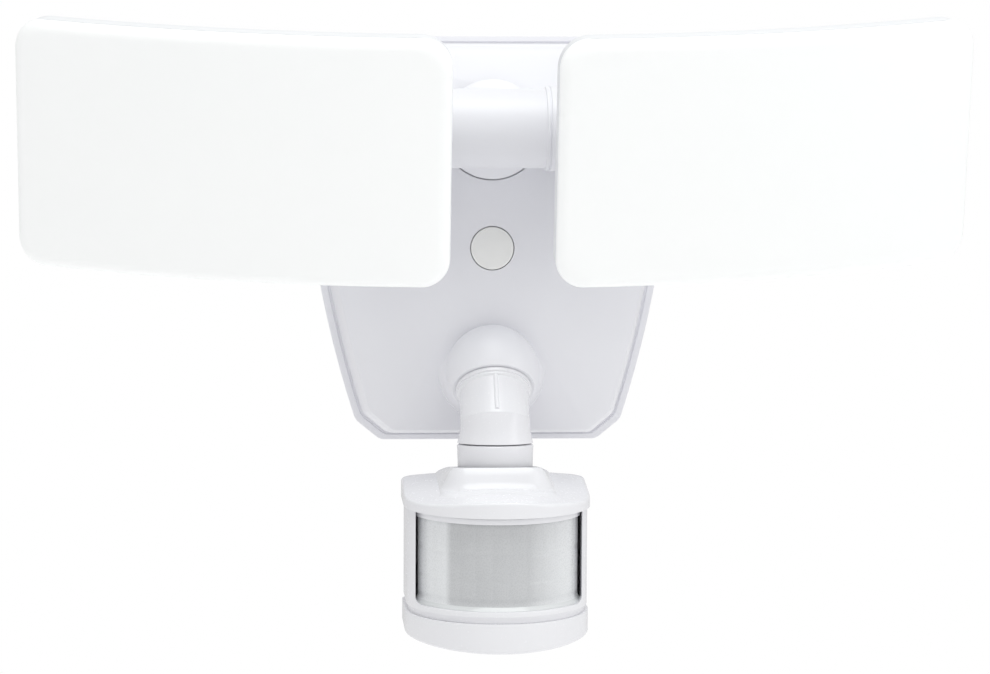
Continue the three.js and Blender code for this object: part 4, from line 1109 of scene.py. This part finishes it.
knob_model = make_knob()
for use, x in KNOB_SPOTS.items():
    knob = copy_of(knob_model, f"{use}_dial_knob")
    settle(knob, SENSOR_PLACE @ Matrix.Translation((x, KNOB_Y, SENSOR_BOTTOM + 0.3)))
    dress(knob, PLUG_ABS, f"{use}_dial", [f"{use}_knob"])
base_screw = make_screw("base_screw_model", 3.0, 0.9, 1.3, 8)
for i, x in enumerate((-24, 24)):
    screw = copy_of(base_screw, f"base_cover_screw_{i + 1}")
    settle(screw, SENSOR_PLACE @ aim((x, 10, SENSOR_BOTTOM + 1.1), (0, 0, -1)))
    dress(screw, ZINC, "sensor", [f"base_screw_{i + 1}"])
for model in (knob_model, base_screw):
    bpy.data.objects.remove(model)


# ---------------------------------------------------------------- CAD parts that stay, with their finishes
FINISHES = {
    FOAM_RUBBER: ["wall_gasket", "hub_seal"],
    ZINC: [
        "mounting_strap", "centre_bolt", "hub_locknut", "driver_screw_upper", "driver_screw_lower",
        "left_tilt_bolt", "right_tilt_bolt", "left_spring_washer", "right_spring_washer", "tilt_pin", "pir_detector",
    ],
    GREEN_ZINC: ["ground_screw"],
    DRIVER_NYLON: ["driver_case"],
    PVC: ["head_lead", "sensor_lead"],
    REFLECTOR: ["left_reflector", "right_reflector"],
    LED_BOARD: ["left_led_board", "right_led_board"],
    CIRCUIT_BOARD: ["sensor_board"],
    SILICONE: ["left_lens_seal", "right_lens_seal", "light_cell"],
    PLUG_ABS: ["swivel_retainer"],
    OPAL_PAINTED_GLOW: ["status_led"],
}
for material, nodes in FINISHES.items():
    for name in nodes:
        part = frame["nodes"][name]
        part.data.materials.clear()
        part.data.materials.append(material)
        weld = part.modifiers.new("Weld", "WELD")
        weld.merge_threshold = 0.00001
        if name.endswith("_lead"):
            rounder = part.modifiers.new("Subdivision", "SUBSURF")
            rounder.levels = 2
            rounder.render_levels = 2
        else:
            edges = part.modifiers.new("Bevel", "BEVEL")
            edges.width = 0.15 * MM
            edges.segments = 2
            edges.limit_method = "ANGLE"
            edges.angle_limit = math.radians(40)


# ---------------------------------------------------------------- camera, light and stage
def place_camera():
    distance, across, height = 1450, 3.1, -35.5
    azimuth, elevation = math.radians(3.8), math.radians(2.4)
    back = Vector(
        (-math.sin(azimuth) * math.cos(elevation), -math.cos(azimuth) * math.cos(elevation), math.sin(elevation))
    )
    right = Vector((math.cos(azimuth), -math.sin(azimuth), 0))
    up = back.cross(right)
    camera = bpy.data.objects.new("camera", bpy.data.cameras.new("camera"))
    bpy.context.scene.collection.objects.link(camera)
    turn = Matrix((right, up, back)).transposed().to_4x4()
    spot = (right * across + up * height + back * distance) * MM
    camera.matrix_world = Matrix.Translation(spot) @ turn
    camera.data.sensor_width = 36
    camera.data.lens = 2.54 * distance / 990 * 36
    camera.data.clip_start = 0.05
    bpy.context.scene.camera = camera


place_camera()


def area_light(name, location, target, size, power, colour="#FFFFFF"):
    light = bpy.data.objects.new(name, bpy.data.lights.new(name, "AREA"))
    bpy.context.scene.collection.objects.link(light)
    light.data.shape = "RECTANGLE"
    light.data.size, light.data.size_y = size
    light.data.energy = power
    light.data.color = linear(colour)[:3]
    aim_at = Vector(target) - Vector(location)
    light.location = location
    light.rotation_euler = aim_at.to_track_quat("-Z", "Y").to_euler()
    return light


area_light("overhead_softbox", (0.1, -0.55, 1.25), (0, -0.05, 0), (1.2, 0.9), 10, "#FCFFFD")
area_light("right_softbox", (1.3, -0.8, 0.35), (0, 0, -0.05), (0.7, 1.2), 3.2)
area_light("left_softbox", (-1.4, -0.8, 0.3), (0, 0, -0.05), (0.7, 1.2), 0.9)

world = bpy.data.worlds.new("studio")
bpy.context.scene.world = world
world.use_nodes = True
world.node_tree.nodes["Background"].inputs["Color"].default_value = linear("#FFFFFF")
ray = node(world.node_tree, "ShaderNodeLightPath")
strength = node(
    world.node_tree, "ShaderNodeMapRange", {"Value": ray.outputs["Is Camera Ray"], "To Min": 0.64, "To Max": 1.0}
)
world.node_tree.links.new(strength.outputs["Result"], world.node_tree.nodes["Background"].inputs["Strength"])
bpy.context.scene.view_settings.view_transform = "Standard"

alone(None)
bpy.ops.mesh.primitive_plane_add(size=6, location=(0, 0, -0.6))
floor = named("floor")
floor_paint = surface("pale_floor", "#FFFFFF", "#FDFDFD", (0.8, 0.9), 300, 2, 0.01)
floor_shader = floor_paint.node_tree.nodes["Principled BSDF"]
floor_shader.inputs["Emission Color"].default_value = linear("#FFFFFF")
floor_shader.inputs["Emission Strength"].default_value = 0.12
floor.data.materials.append(floor_paint)
